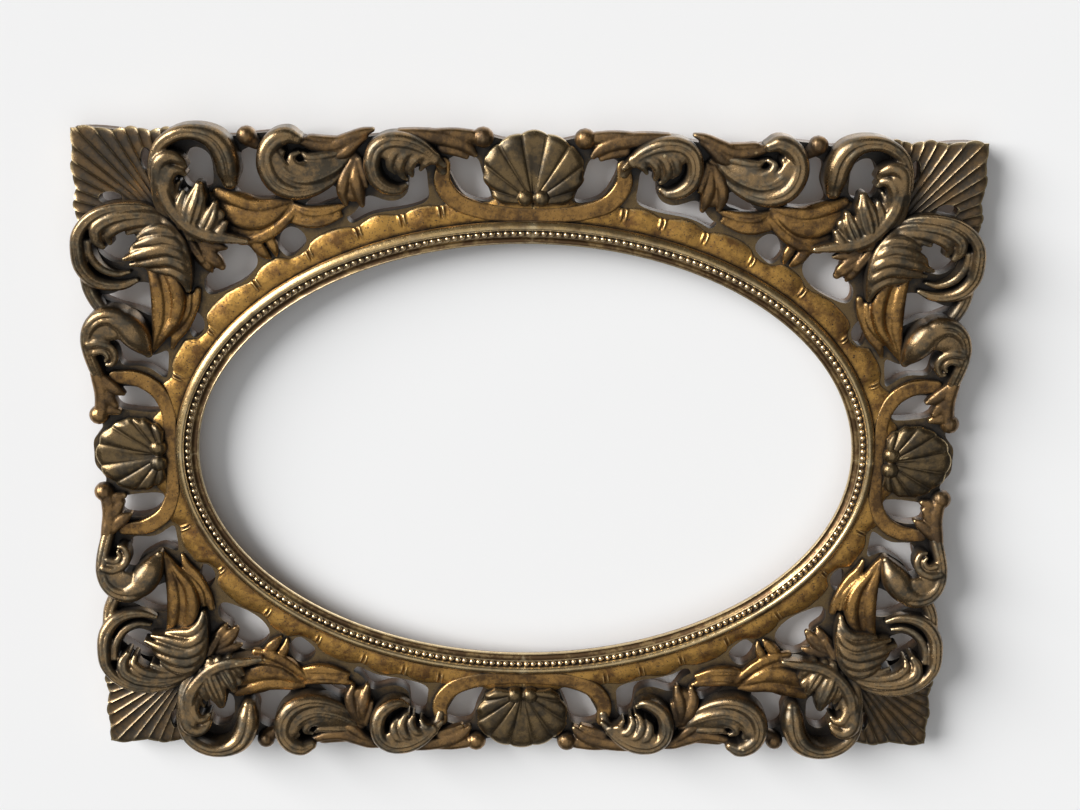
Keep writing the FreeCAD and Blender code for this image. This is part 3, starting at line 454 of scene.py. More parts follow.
# Pearls
# A string of small half-round beads, pressed in composition and glued on the ledge.
PEARL_LINE = 7.65
PEARL_SIDE = SIGHT_SIDE + PEARL_LINE
PEARL_TOP = SIGHT_TOP + PEARL_LINE
PEARL_COUNT = 252
PEARL_RADIUS = 2.2
PEARL_BACK = 0.3
PEARL_SEGMENTS = 10
PEARL_RINGS = 6
LEDGE_HEIGHT = 3.1
LINE_STEPS = 3600
line = [(PEARL_SIDE * math.cos(math.tau * step / LINE_STEPS),
         PEARL_TOP * math.sin(math.tau * step / LINE_STEPS)) for step in range(LINE_STEPS + 1)]
runs = [0.0]
for one, two in zip(line[:-1], line[1:]):
    runs.append(runs[-1] + math.dist(one, two))
bpy.ops.object.select_all(action="DESELECT")
bpy.ops.mesh.primitive_uv_sphere_add(
    segments=PEARL_SEGMENTS, ring_count=PEARL_RINGS, radius=PEARL_RADIUS / 1000)
pearl = bpy.context.object
bpy.ops.object.mode_set(mode="EDIT")
bpy.ops.mesh.select_all(action="SELECT")
bpy.ops.transform.rotate(
    value=math.pi / 2, orient_axis="X", center_override=(0, 0, 0))
bpy.ops.mesh.bisect(
    plane_co=(0, PEARL_BACK / 1000, 0), plane_no=(0, 1, 0), clear_outer=True, use_fill=True)
bpy.ops.object.mode_set(mode="OBJECT")
# The cut leaves the faces in an order that changes from run to run, so they are sorted.
pearl_faces = sorted(tuple(face.vertices) for face in pearl.data.polygons)

places = []
faces = []
corner = 0
for bead in range(PEARL_COUNT):
    wanted = runs[-1] * (bead + 0.5) / PEARL_COUNT
    while runs[corner + 1] < wanted:
        corner += 1
    x, z = line[corner]
    first = len(places)
    places += [vertex.co + at(x, z, BOARD_FRONT + LEDGE_HEIGHT) for vertex in pearl.data.vertices]
    faces += [[first + spot for spot in face] for face in pearl_faces]
bpy.data.objects.remove(pearl)
pearls = mesh_piece("pearl_string", places, faces)
pearl_gilt = gilded("pearl_gilt", (0.70, 0.50, 0.27, 1), (0.36, 0.22, 0.11, 1),
                    (0.80, 0.62, 0.38, 1), bronzing=0.25, specks=0.2, hollow=0.20,
                    reach=0.002, bump=0.05, toolmarks=0.0)
finish_piece(pearls, "pearl_string", pearl_gilt, "bright_gilt", "pearl_beading")

# Corner fans
# A thin fan of hollow flutes fills each corner, carved from its own small board and
# glued over the mitre.
FAN_APEX = (238.0, 160.0)
FAN_START = math.radians(3)
FAN_END = math.radians(91)
FAN_FLUTES = 14
FAN_CORNER = (304.6, 227.6)
FAN_HOLES = ((254.0, 206.0, 3.8, 7.6), (278.6, 179.4, 7.8, 4.6))
FAN_HEIGHT = 4.7
FAN_FALL = 0.6
FAN_EDGE_DROP = 0.9
FAN_FIRST_SHARE = 0.10
FAN_EDGE_SHARE = 0.93
TIP_NOTCH_SHARE = 0.035
TIP_NOTCH_ANGLE = 0.05
FLUTE_DEPTH = 1.15
fan_diagonal = math.atan2(FAN_CORNER[1] - FAN_APEX[1], FAN_CORNER[0] - FAN_APEX[0])


def fan_reach(turn):
    room = []
    if math.cos(turn) > 0.01:
        room.append((FAN_CORNER[0] - FAN_APEX[0]) / math.cos(turn))
    if math.sin(turn) > 0.01:
        room.append((FAN_CORNER[1] - FAN_APEX[1]) / math.sin(turn))
    notch = TIP_NOTCH_SHARE * math.exp(-((turn - fan_diagonal) / TIP_NOTCH_ANGLE) ** 2)
    return min(room) * (1 - notch)


def fan_place(row, column):
    turn = FAN_START + (FAN_END - FAN_START) * column
    phase = column * FAN_FLUTES
    hollow = abs(math.sin(math.pi * phase)) ** 0.6
    side = min(1.0, abs(turn - fan_diagonal) / 0.12)
    scallop = 0.018 * (1 - hollow) + 0.016 * (1 + math.cos(math.pi * phase / 1.5))
    limit = fan_reach(turn) * (1 - scallop * side - 0.010 * side)
    share = FAN_FIRST_SHARE + (1 - FAN_FIRST_SHARE) * row
    run = limit * share
    edge = max(0.0, (share - FAN_EDGE_SHARE) / (1 - FAN_EDGE_SHARE))
    height = BOARD_FRONT + FAN_HEIGHT - FAN_FALL * share
    height -= FLUTE_DEPTH * hollow * min(1.0, share * 1.5)
    height -= FAN_EDGE_DROP * edge ** 2
    return (FAN_APEX[0] + run * math.cos(turn), FAN_APEX[1] + run * math.sin(turn), height)


fan = relief_grid("corner_fan", 40, FAN_FLUTES * 12, fan_place)
for x, z, half_x, half_z in FAN_HOLES:
    bpy.ops.object.select_all(action="DESELECT")
    bpy.ops.mesh.primitive_cylinder_add(
        vertices=40, radius=1, depth=2, location=at(x, z, 20), rotation=(math.pi / 2, 0, 0),
        scale=(half_x / 1000, half_z / 1000, 0.01))
    hole = bpy.context.object
    pick(fan)
    cut = fan.modifiers.new("hole", "BOOLEAN")
    cut.object = hole
    cut.operation = "DIFFERENCE"
    cut.solver = "EXACT"
    bpy.ops.object.modifier_apply(modifier="hole")
    bpy.data.objects.remove(hole)
pick(fan)
bpy.ops.object.shade_smooth_by_angle(angle=math.radians(60))
fan_gilt = gilded("fan_gilt", (0.19, 0.12, 0.058, 1), (0.085, 0.068, 0.05, 1),
                  (0.60, 0.45, 0.24, 1), bronzing=0.55, specks=0.5, hollow=0.62,
                  reach=0.010, mattness=0.24, bump=0.35)
quarter_copies(fan, "fluted_fan", fan_gilt, "bronzed_gilt", "corner_fan")


# Rail acanthus
# A scroll of acanthus leaf, carved in limewood as one piece: a fat outer roll, folded
# claws inside it and a broad fluted leaf on a thin spine. It is glued to the rail.
CAP_ANGLES = (28, 55, 75, 88)
TONGUE_FACETS = 12
RIDGE_FACETS = 8
DOME_POWER = 0.8
RIDGE_POWER = 0.32
GROOVE_SHARE = 0.7


def strand_sections(path, step=1.0):
    """Sections along given points of across, up, half width and crown height."""
    first = [2 * a - b for a, b in zip(path[0], path[1])]
    last = [2 * a - b for a, b in zip(path[-1], path[-2])]
    points = [first] + [list(point) for point in path] + [last]
    sections = []
    for index in range(1, len(points) - 2):
        p0, p1, p2, p3 = points[index - 1:index + 3]
        count = max(2, round(math.dist(p1[:2], p2[:2]) / step))
        for part in range(count):
            t = part / count
            sections.append([
                0.5 * (2 * b + (c - a) * t + (2 * a - 5 * b + 4 * c - d) * t * t
                       + (3 * b - a - 3 * c + d) * t ** 3)
                for a, b, c, d in zip(p0, p1, p2, p3)])
    sections.append(list(path[-1]))
    return sections


def strand(path, ridges=1, bite=0.3, end_bite=None, depth=99.0, fullness=1.0, hollow=0.0):
    """One carved tongue as closed rings: a dome cut by grooves that run along it."""
    sections = strand_sections(path)
    rounded = []
    ends = ((sections[0], sections[1]), (sections[-1], sections[-2]))
    for place, inner in ends:
        away = Vector((place[0] - inner[0], place[1] - inner[1])).normalized()
        cap = []
        for angle in CAP_ANGLES:
            swing = math.radians(angle)
            drop = place[2] * fullness * (1 - math.cos(swing))
            cap.append([place[0] + away.x * place[2] * math.sin(swing),
                        place[1] + away.y * place[2] * math.sin(swing),
                        place[2] * math.cos(swing), place[3] - drop])
        rounded.append(cap)
    sections = rounded[0][::-1] + sections + rounded[1]
    if end_bite is None:
        end_bite = bite
    across = TONGUE_FACETS if ridges == 1 else RIDGE_FACETS * ridges
    places = []
    for index, (x, z, half, crown) in enumerate(sections):
        before = sections[max(0, index - 1)]
        after = sections[min(len(sections) - 1, index + 1)]
        along = Vector((after[0] - before[0], after[1] - before[1])).normalized()
        low = max(SEAT, crown - depth)
        dome = min(half * fullness, crown - low - 0.2)
        groove = bite + (end_bite - bite) * index / (len(sections) - 1)
        for spot in range(across + 1):
            turn = math.pi * spot / across
            side = math.cos(turn)
            rise = math.sin(turn) ** DOME_POWER
            if ridges > 1:
                ridge = abs(math.sin(ridges * (side + 1) * math.pi / 2)) ** RIDGE_POWER
                rise *= 1 - GROOVE_SHARE * groove * (1 - ridge)
            rise -= hollow * (1 - side * side)
            places.append(at(x - along.y * side * half, z + along.x * side * half,
                             crown - dome + dome * rise))
        for side in (-1, 1):
            places.append(at(x - along.y * side * half, z + along.x * side * half, low))
    return places, ring_faces(len(sections), across + 3)


def knob(x, z, radius, crown):
    """A berry: a strand so short that only its two round ends are left."""
    return strand([(x - 0.3, z, radius, crown), (x + 0.3, z, radius, crown)])


def carve(name, strands, grain_size=0.68, soften=2):
    """Strands grown together into one skin and softened as gesso softens a carving."""
    places = []
    faces = []
    for strand_places, strand_faces in strands:
        first = len(places)
        places += strand_places
        faces += [[first + spot for spot in face] for face in strand_faces]
    piece = mesh_piece(name, places, faces)
    skin = piece.modifiers.new("skin", "REMESH")
    skin.mode = "VOXEL"
    skin.voxel_size = grain_size / 1000
    soft = piece.modifiers.new("gesso", "SMOOTH")
    soft.factor = 0.5
    soft.iterations = soften
    pick(piece)
    bpy.ops.object.modifier_apply(modifier="skin")
    bpy.ops.object.modifier_apply(modifier="gesso")
    bpy.ops.object.shade_smooth()
    return piece


scroll_gilt = gilded("scroll_gilt", (0.34, 0.22, 0.105, 1), (0.115, 0.093, 0.064, 1),
                     (0.80, 0.63, 0.37, 1), bronzing=0.50, specks=0.35, hollow=0.74,
                     reach=0.013, mattness=0.18, bump=0.3)
rail_acanthus = carve("rail_acanthus", [
    strand([(236, 160, 2, 24), (243, 172, 2.6, 26.5), (248, 188, 2.8, 29.5),
            (248.5, 203, 3.2, 32), (244, 215, 4.2, 34), (236, 222.1, 4.7, 35.5),
            (226, 225.7, 5, 36), (215, 224.7, 6.1, 36), (206.5, 219.5, 8, 35.5),
            (201.5, 210, 8.6, 34.5), (200, 200, 8, 32.5), (199.3, 193, 5.6, 29.5)], 2, 0.35,
           0.2),
    strand([(239, 165, 3, 26), (244, 180, 3.6, 30.5), (245.2, 195, 4.6, 34), (243, 206, 5, 36),
            (236.5, 209.8, 4.4, 35.8), (230.5, 207.3, 3.4, 34), (227.8, 203.5, 2.2, 31.5)],
           depth=15),
    strand([(236, 166, 2.6, 26), (238.5, 181, 3.4, 30.5), (239, 193, 4.2, 34),
            (235.8, 200, 4.2, 34.5), (230.8, 200.3, 3, 33), (228, 198, 1.8, 31)], depth=14),
    strand([(233, 164, 2.2, 26), (235, 177, 2.4, 29.5), (234.3, 187, 2, 29.5),
            (232, 192.5, 1.4, 28)]),
    strand([(232, 163, 3, 30.5), (232.6, 171, 4, 32.2), (231.2, 179.5, 3.4, 32),
            (229.2, 186, 1.7, 30)], 2, 0.3),
    strand([(226, 156, 3.6, 30.5), (226.2, 165, 6.4, 33), (223.8, 174, 8.2, 34.2),
            (220.6, 183, 7, 33.4), (219, 190, 3.4, 31)], 3, 0.5),
    strand([(220, 155, 3.4, 30.5), (215.6, 163, 5.8, 32.6), (211.6, 171, 5.4, 32.8),
            (209.2, 178, 2.4, 30.6)], 2, 0.45),
    strand([(212, 153.5, 3, 30), (206.6, 159.5, 3.8, 31.4), (202.8, 165.5, 2, 29.6)]),
    strand([(237, 163, 6, 25), (241, 177, 8, 29.8), (242.3, 191, 8, 33.2), (241, 201, 6, 34.6)],
           fullness=0.4),
    strand([(189.5, 153.6, 1.8, 30), (202, 155.6, 3.6, 31.8), (214, 157.2, 4.4, 32.6),
            (225, 162, 4.6, 33), (234, 170.5, 4.4, 33), (240.4, 181, 4.6, 33.4),
            (242.4, 192, 4.6, 34)], 2, 0.2, fullness=0.7),
    strand([(232, 156, 7, 25), (228, 164, 10, 30.2), (223.6, 174, 9.5, 32.4),
            (220.4, 182, 6, 32.4)], fullness=0.35),
    strand([(229, 156, 6, 26), (219, 162, 8, 30.8), (211.6, 168.5, 7, 31.2),
            (207, 171, 4, 30.4)], fullness=0.4),
])
quarter_copies(rail_acanthus, "carved_rail_acanthus", scroll_gilt, "bronzed_gilt",
               "rail_acanthus")

# Rail sprig
# A low spray of three leaves and a ribbed spine, carved thin in limewood and glued to the
# boards in the fork between the two corner scrolls.
sprig_gilt = gilded("sprig_gilt", (0.31, 0.18, 0.072, 1), (0.115, 0.072, 0.038, 1),
                    (0.62, 0.43, 0.21, 1), bronzing=0.48, specks=0.7, hollow=0.64,
                    reach=0.011, mattness=0.22, bump=0.35, toolmarks=1.0)
rail_sprig = carve("rail_sprig", [
    strand([(247, 173, 1.6, 25), (239, 165.5, 2.6, 27), (231.5, 156.5, 3.4, 27),
            (225, 147, 3.6, 25.6), (220, 139, 2.4, 24)], 2, 0.4, fullness=0.7),
    strand([(231, 154, 3, 22), (218, 150.6, 4.2, 23.4), (208.5, 147.8, 3, 22.2),
            (204.5, 146.8, 1.4, 20.6)], fullness=0.6),
    strand([(230, 153, 4, 22), (219, 145, 5.4, 23.6), (211, 138, 4.6, 23),
            (207.5, 134, 2.6, 21)], 2, 0.3, fullness=0.5),
    strand([(229, 149, 3.4, 21.8), (221.5, 140.5, 4, 23), (216.3, 133.8, 3, 22.2),
            (214.5, 130.8, 1.4, 20.4)], fullness=0.6),
])
quarter_copies(rail_sprig, "carved_rail_sprig", sprig_gilt, "gilt_leaf")

# Stile acanthus
# The sister scroll of limewood, glued to the stile and rolled the other way. Inside it
# lies a leaf of five pointed folds.
stile_acanthus = carve("stile_acanthus", [
    strand([(243, 170, 2.2, 26), (255, 175, 2.8, 30.5), (268, 176, 3.2, 34),
            (281, 173.5, 3.6, 35.7), (292, 167, 3.8, 36), (299, 157, 4.2, 36),
            (300.2, 145, 4.8, 35), (298.8, 134, 5, 32.5), (292.5, 125, 4.8, 29.5),
            (283, 121, 4, 26.5), (273, 121, 3.2, 24.5), (264.5, 124, 1.8, 22.5)], 2, 0.3),
    strand([(240, 166, 3, 27), (252, 170, 3.8, 31.5), (265, 170.5, 4.2, 34.5),
            (277, 168, 4.6, 36), (286, 162, 4.8, 36), (287, 154.5, 4, 34.5),
            (283.8, 149, 2.2, 32)], 2, 0.25, depth=15),
    strand([(238, 163, 2.6, 26.5), (250, 165.5, 3.4, 31), (262, 165.3, 3.6, 33.5),
            (273, 162, 3.8, 34.8), (279.3, 156.5, 3.2, 33.5), (278.8, 151.5, 1.8, 31)],
           depth=14),
    strand([(237, 160, 2.2, 26), (248, 161, 2.6, 29.5), (259, 160.8, 2.4, 31),
            (267, 158, 1.6, 30)], depth=12),
    strand([(293.3, 152, 2.6, 32), (292.3, 142, 2.8, 30.5), (286.5, 133, 2.8, 27.5),
            (277, 128.7, 2.2, 25), (268.5, 130, 1.3, 22.5)]),
    strand([(246, 169, 2.6, 28), (238.6, 161.5, 3.6, 31), (233.2, 152.5, 4.2, 31.6),
            (230.6, 142, 4.2, 31.2), (229.6, 131, 3.6, 29.8), (229.6, 119, 2, 26.4)],
           fullness=0.7),
    strand([(234, 154, 2.2, 31), (238.5, 159.5, 3.2, 33), (245, 161.2, 3.6, 33.6),
            (252.5, 159.6, 3.4, 33), (260, 155.5, 1.6, 30.6)]),
    strand([(230.6, 145.5, 2.2, 31), (235.6, 152, 3.8, 33.8), (243, 154.8, 4.4, 34.6),
            (251.5, 153.4, 4.4, 34.4), (260.5, 150.4, 2.6, 32), (264.8, 148.4, 1.3, 29.5)]),
    strand([(229, 136.6, 2.2, 30.4), (233.4, 144, 4, 33.8), (241, 147.6, 4.8, 34.8),
            (250, 146.8, 5, 34.6), (261, 143.6, 3.6, 33), (270.8, 140, 1.4, 29)]),
    strand([(228.8, 127.8, 2.1, 29.2), (232.4, 135.6, 3.8, 32.8), (239.4, 140, 4.4, 33.8),
            (247.5, 139.8, 4.6, 33), (257, 137.8, 3.2, 31), (266.5, 136.2, 1.3, 28)]),
    strand([(229.4, 119.4, 1.8, 27), (232, 127, 3.4, 30.6), (237.4, 132, 4, 31.8),
            (243.5, 133, 3.8, 31), (250, 133.2, 2.6, 29.4), (256, 133.8, 1.4, 27.6)]),
    strand([(234, 147, 8, 27.5), (242, 147, 12, 30.6), (252, 146.5, 10.5, 32),
            (260, 145, 7, 31)], fullness=0.35),
    strand([(243, 165, 7, 27), (257, 168.5, 8.5, 31), (270, 168.5, 8.5, 33.6),
            (280, 165, 6.5, 34.6)], fullness=0.4),
    strand([(297, 128, 4.6, 28), (296.3, 118.5, 4.6, 25.5), (292.8, 110, 4.8, 24.8),
            (288, 103.5, 4.6, 25.5)], 2, 0.4),
])
quarter_copies(stile_acanthus, "carved_stile_acanthus", scroll_gilt, "bronzed_gilt",
               "stile_acanthus")

# Side curl
# A small reversed scroll of limewood, glued to the stile. It swells into a round leaf bud
# at one end and hooks into two short claws at the other.
side_curl = carve("side_curl", [
    strand([(258.5, 74, 3, 27), (262, 80.5, 7.2, 32.6), (266.5, 88, 10, 35.6),
            (272, 95.5, 9.2, 36), (279.5, 99.5, 6.2, 35.6)]),
    strand([(268, 96, 5, 33.5), (278, 101, 7.0, 35.7), (287.5, 100.5, 6, 35.7),
            (294.5, 95, 5, 35), (298, 86.5, 4.4, 33.5), (297.8, 77, 4.4, 32),
            (295.5, 66, 4.6, 29.5), (293, 56, 4.2, 26.4), (291.6, 48, 2.4, 23.6)], 2, 0.35,
           0.25),
    strand([(297, 82, 3, 33.5), (289.5, 83, 3.2, 33.7), (282.5, 79.5, 3, 32),
            (280.2, 73, 2.6, 30.5), (282.5, 67.5, 2, 29.5), (286, 66.8, 1.3, 29)], depth=13),
    strand([(294, 76, 2.6, 32), (288, 77, 2.4, 32), (285, 73, 1.8, 31), (286.5, 70, 1.1, 30.5)],
           depth=12),
    strand([(268, 88, 6, 31), (277, 93, 8, 33.6), (287, 91, 8, 33.4), (292, 84, 6, 32.4)],
           fullness=0.35),
])
quarter_copies(side_curl, "carved_side_curl", scroll_gilt, "bronzed_gilt", "side_curl")

# Curl tail
# A stem with three short leaves runs on from the side curl and ends in a berry beside
# the shell. It is carved flatter and glued to the stile.
curl_tail = carve("curl_tail", [
    strand([(296, 64, 3.4, 27), (293.5, 55, 5, 27), (292, 45, 5.4, 26), (292.4, 36, 5.4, 25.4),
            (294, 29, 5, 25)]),
    strand([(292, 56, 4, 26), (285.5, 50, 4.4, 25.8), (280.8, 46.4, 3.4, 24.8),
            (277.6, 44.4, 1.6, 23.2)], fullness=0.6),
    strand([(292, 47, 4.5, 25.4), (287.5, 41, 4.6, 25), (284, 36.4, 2.8, 23.6)], fullness=0.6),
    strand([(292, 35, 4, 24.4), (286.5, 32.4, 4, 23.6), (282, 31, 2.4, 22.2)], fullness=0.6),
    knob(295.3, 28.3, 6.6, 26),
])
quarter_copies(curl_tail, "carved_curl_tail", sprig_gilt, "gilt_leaf")

# Wave scroll
# A breaking wave of limewood, glued to the rail: a grooved roll with two smaller rolls
# and a tongue inside.
wave_scroll = carve("wave_scroll", [
    strand([(123, 203, 1.6, 23), (133, 194.5, 3.4, 27), (145, 188.8, 5, 30.5),
            (157, 187.5, 5.8, 33.5), (168, 192.5, 6.6, 35.5), (174, 202.5, 6.8, 36),
            (174.3, 213, 6.2, 36), (169, 221, 6.4, 36), (161, 224.3, 5.8, 35.3),
            (154.3, 222.3, 3.8, 33)], 2, 0.3, 0.15),
    strand([(122, 210, 2, 24.5), (130, 203, 3.4, 27.5), (141, 197.8, 4.2, 30.5),
            (152, 196, 4.4, 32.5), (162, 200, 4.4, 34), (166.5, 207.5, 3.8, 34),
            (164.3, 213.5, 2.4, 32.5)], 2, 0.3),
    strand([(128, 209.5, 2, 24.5), (138, 204.5, 3.2, 28.5), (148, 202.5, 3.6, 31),
            (156.3, 205.3, 3.4, 32.3), (158, 210.5, 2.6, 31.8), (154, 213, 1.5, 30)]),
    strand([(126, 213, 2.4, 25), (137, 211, 3.2, 28), (147, 210, 2.8, 29.5),
            (151, 212.3, 1.5, 28.5)]),
    strand([(126, 207, 5, 25), (138, 202, 8.5, 29), (151, 198.5, 9, 31.8), (164, 200, 8, 33.6),
            (169.5, 209, 6, 34.2)], fullness=0.35),
])
quarter_copies(wave_scroll, "carved_wave_scroll", scroll_gilt, "bronzed_gilt", "wave_scroll")

# Wave crest
# Foam runs along the rail's edge in front of the wave, with a berry behind it and three
# leaves hanging below. They are carved flatter and glued to the rail.
wave_crest = carve("wave_crest", [
    strand([(152, 220, 3, 27), (143, 217.5, 4.4, 27.3), (133, 217, 4.8, 27),
            (123, 220.5, 4.6, 26.5), (113, 225.3, 3.4, 25), (106, 227.6, 1.6, 23)]),
    strand([(132, 209.5, 2.5, 25), (124.5, 212.5, 4.4, 26.6), (117.5, 218.5, 3.8, 26),
            (111, 223.5, 2.2, 24)]),
    strand([(146, 219, 5, 26.2), (132, 216.5, 6.6, 26.2), (121, 218, 5.4, 25.4),
            (112, 223.5, 3.4, 24)], fullness=0.4),
    strand([(182, 217, 4, 23), (185.5, 219.6, 5.4, 24.5), (188.3, 221.4, 5.8, 24.5)]),
    knob(188.3, 222.4, 6.2, 26.5),
    strand([(119, 207, 3, 24.5), (124, 197, 4.4, 26.8), (126, 187, 4.2, 26.2),
            (124, 178.5, 1.8, 23.5)]),
    strand([(117, 207, 3, 24.5), (117, 196, 4.6, 27), (115.3, 186, 4.4, 26.2),
            (113.3, 178, 2, 23.5)]),
    strand([(115, 208, 2.6, 24.5), (112, 199, 3, 25.7), (110.4, 191, 1.6, 24.4)]),
    strand([(120, 208, 6, 23.5), (119.5, 197, 8, 25), (119, 187, 7, 24.6)], fullness=0.35),
])
quarter_copies(wave_crest, "carved_wave_crest", sprig_gilt, "gilt_leaf")

# Crest scroll
# A C-scroll of limewood with four folded claws, glued to the rail beside the shell. Its
# foot runs into the strap.
crest_scroll = carve("crest_scroll", [
    strand([(59, 205.5, 1.6, 27), (66, 212, 3.6, 30.5), (74, 218, 5, 33.3),
            (84, 221.8, 5.8, 35.3), (95, 221.8, 5.8, 36), (103.3, 216.3, 5.8, 36),
            (106, 206.5, 5.6, 35.7), (103.5, 197, 5.4, 34), (97, 191, 4.8, 32),
            (89.5, 189.3, 3.6, 29.5), (84.5, 191.8, 2, 27)], 2, 0.3, 0.2),
    strand([(86, 217.5, 3, 34), (92.3, 213.5, 3.8, 35.3), (93.8, 206, 3.2, 33.7),
            (91, 201.3, 1.5, 31)], depth=14),
    strand([(79, 216, 3, 33), (85.5, 212.7, 3.8, 34.7), (88, 205.3, 3.6, 33.7),
            (85.8, 199, 2.2, 31), (83.5, 197, 1.3, 29.5)], depth=14),
    strand([(72, 213, 2.6, 31.5), (78.3, 210.3, 3.4, 33.3), (81.3, 204, 3, 31.7),
            (80, 199.3, 1.5, 29.5)], depth=13),
    strand([(65.5, 209.3, 2.2, 29), (71.3, 207.8, 2.8, 30.8), (74.3, 203.3, 1.5, 28.5)],
           depth=11),
    strand([(60, 201, 3.6, 23), (62, 207, 3.6, 25.5), (67, 211.5, 3.2, 27.5)]),
    strand([(66, 211, 4.5, 30), (76, 214.5, 7, 32.4), (86, 216.5, 7.5, 34.2),
            (95, 216, 6.5, 34.8)], fullness=0.4),
])
quarter_copies(crest_scroll, "carved_crest_scroll", scroll_gilt, "bronzed_gilt", "crest_scroll")

# Crest strip
# A flat leaf along the rail's edge leads from the C-scroll to a berry by the shell. It is
# glued to the rail.
crest_strip = carve("crest_strip", [
    strand([(88, 226, 3, 26.6), (75, 225, 4.4, 27.3), (62, 223.6, 5, 26.6),
            (50, 220.5, 5.2, 25.6), (43, 216.5, 4, 24.2), (39, 212.5, 2, 22.6)], fullness=0.7),
    strand([(60, 217, 4, 24.5), (51, 214.5, 3.4, 24), (44.5, 211, 1.8, 22.6)], fullness=0.6),
    strand([(64, 226.5, 2.6, 25), (52, 226, 3.6, 25), (41, 224.6, 4, 24.4)], fullness=0.7),
    knob(33.6, 223.6, 7.0, 26.4),
])
quarter_copies(crest_strip, "carved_crest_strip", sprig_gilt, "gilt_leaf")

# Leaves
# Flat acanthus leaves in low relief lie between the scrolls and the oval, on rail and
# stile. They keep more gold than the scrolls, as they are rubbed less.
leaf_gilt = gilded("leaf_gilt", (0.44, 0.24, 0.072, 1), (0.13, 0.072, 0.03, 1),
                   (0.76, 0.51, 0.22, 1), bronzing=0.40, specks=0.8, hollow=0.64,
                   reach=0.013, bump=0.35, toolmarks=1.2)
rail_leaf = carve("rail_leaf", [
    strand([(208, 184, 4, 22), (198, 180.5, 4.4, 24.3), (188, 177, 4.6, 25),
            (178, 176.3, 4.6, 25), (168, 178.3, 3.2, 23.6), (159.5, 179.4, 1.3, 20.6)],
           fullness=0.6),
    strand([(210, 172, 5, 22), (199, 170, 6.4, 24.3), (189, 167, 6.8, 25.3),
            (179, 167.4, 5.8, 25.3), (169.5, 171.7, 3.6, 24), (161.5, 177.5, 1.3, 21)],
           fullness=0.45),
    strand([(194, 152, 3, 22), (181, 154.6, 3.8, 23.6), (170, 160.8, 3.6, 23.6),
            (161, 169.5, 2.6, 22.6), (155.5, 176.5, 1.3, 20.8)], fullness=0.6),
    strand([(187, 153, 3.4, 21.8), (182, 147, 4.2, 23), (177.8, 142.6, 2.8, 22),
            (175.5, 140.5, 1.3, 20.4)], fullness=0.6),
    strand([(177, 156, 3, 21.8), (173.3, 150, 3.4, 22.8), (171.5, 145, 2.2, 21.8),
            (171.2, 142.3, 1.2, 20.4)], fullness=0.6),
    strand([(158, 176, 2.4, 21.2), (150, 173, 4, 23.3), (140, 173, 4.2, 23.3),
            (130, 175.3, 2.6, 22), (125, 176.8, 1.2, 20.5)], 2, 0.35, fullness=0.6),
    strand([(161, 167, 2.6, 21.2), (150, 165.3, 3.8, 23), (140, 165.8, 3.4, 23),
            (131, 168.4, 1.8, 21.6), (127, 170, 1.1, 20.3)], 2, 0.35, fullness=0.6),
    strand([(209, 177, 9, 21.6), (197, 174, 11.5, 23.6), (185, 171.8, 10.5, 24.1),
            (173, 174.5, 6.5, 23), (163.5, 178, 2.6, 20.8)], fullness=0.25, hollow=0.3),
    strand([(196, 160, 7, 21.6), (183, 159, 7.5, 22.8), (172, 163, 6.5, 22.6),
            (162, 171, 4, 21.8)], fullness=0.3),
    strand([(160, 172, 5, 21.2), (149, 169.5, 7.4, 22.6), (139, 169.8, 6.6, 22.5),
            (131, 172, 4, 21.4)], fullness=0.3),
])
quarter_copies(rail_leaf, "carved_rail_leaf", leaf_gilt, "gilt_leaf", "rail_leaf")
stile_leaf = carve("stile_leaf", [
    strand([(255, 136, 2.4, 24), (251.5, 124, 4.4, 26), (250, 110, 5.2, 26.6),
            (251, 96, 4.6, 25.8), (254.5, 83, 2.8, 23.8), (257.5, 73, 1.4, 21)], fullness=0.8),
    strand([(246, 137, 3, 24.5), (239, 124, 4.6, 27), (236.8, 111, 5, 27.4),
            (239.5, 98.5, 4, 26.6), (246, 89, 2.6, 25), (253, 80, 1.4, 22.4)], fullness=0.8),
    strand([(229.5, 114, 2, 22.3), (231, 103.5, 2.2, 23.4), (237.3, 94, 2.2, 23.7),
            (245.3, 87, 1.8, 23), (252, 79.5, 1.1, 21.3)]),
    strand([(224.5, 117, 2.6, 21), (226.8, 107, 3.2, 21.9), (234, 93, 4, 22.4),
            (240.5, 84, 3, 22), (243.3, 76.5, 1.2, 20.2)], fullness=0.6),
    strand([(248, 136, 8, 23), (244.5, 121, 10.5, 24.6), (244, 106, 10, 24.8),
            (247.5, 93, 7, 24), (253, 82, 4, 22.4), (258, 74, 2, 20.8)], fullness=0.25),
])
quarter_copies(stile_leaf, "carved_stile_leaf", leaf_gilt, "gilt_leaf", "stile_leaf")

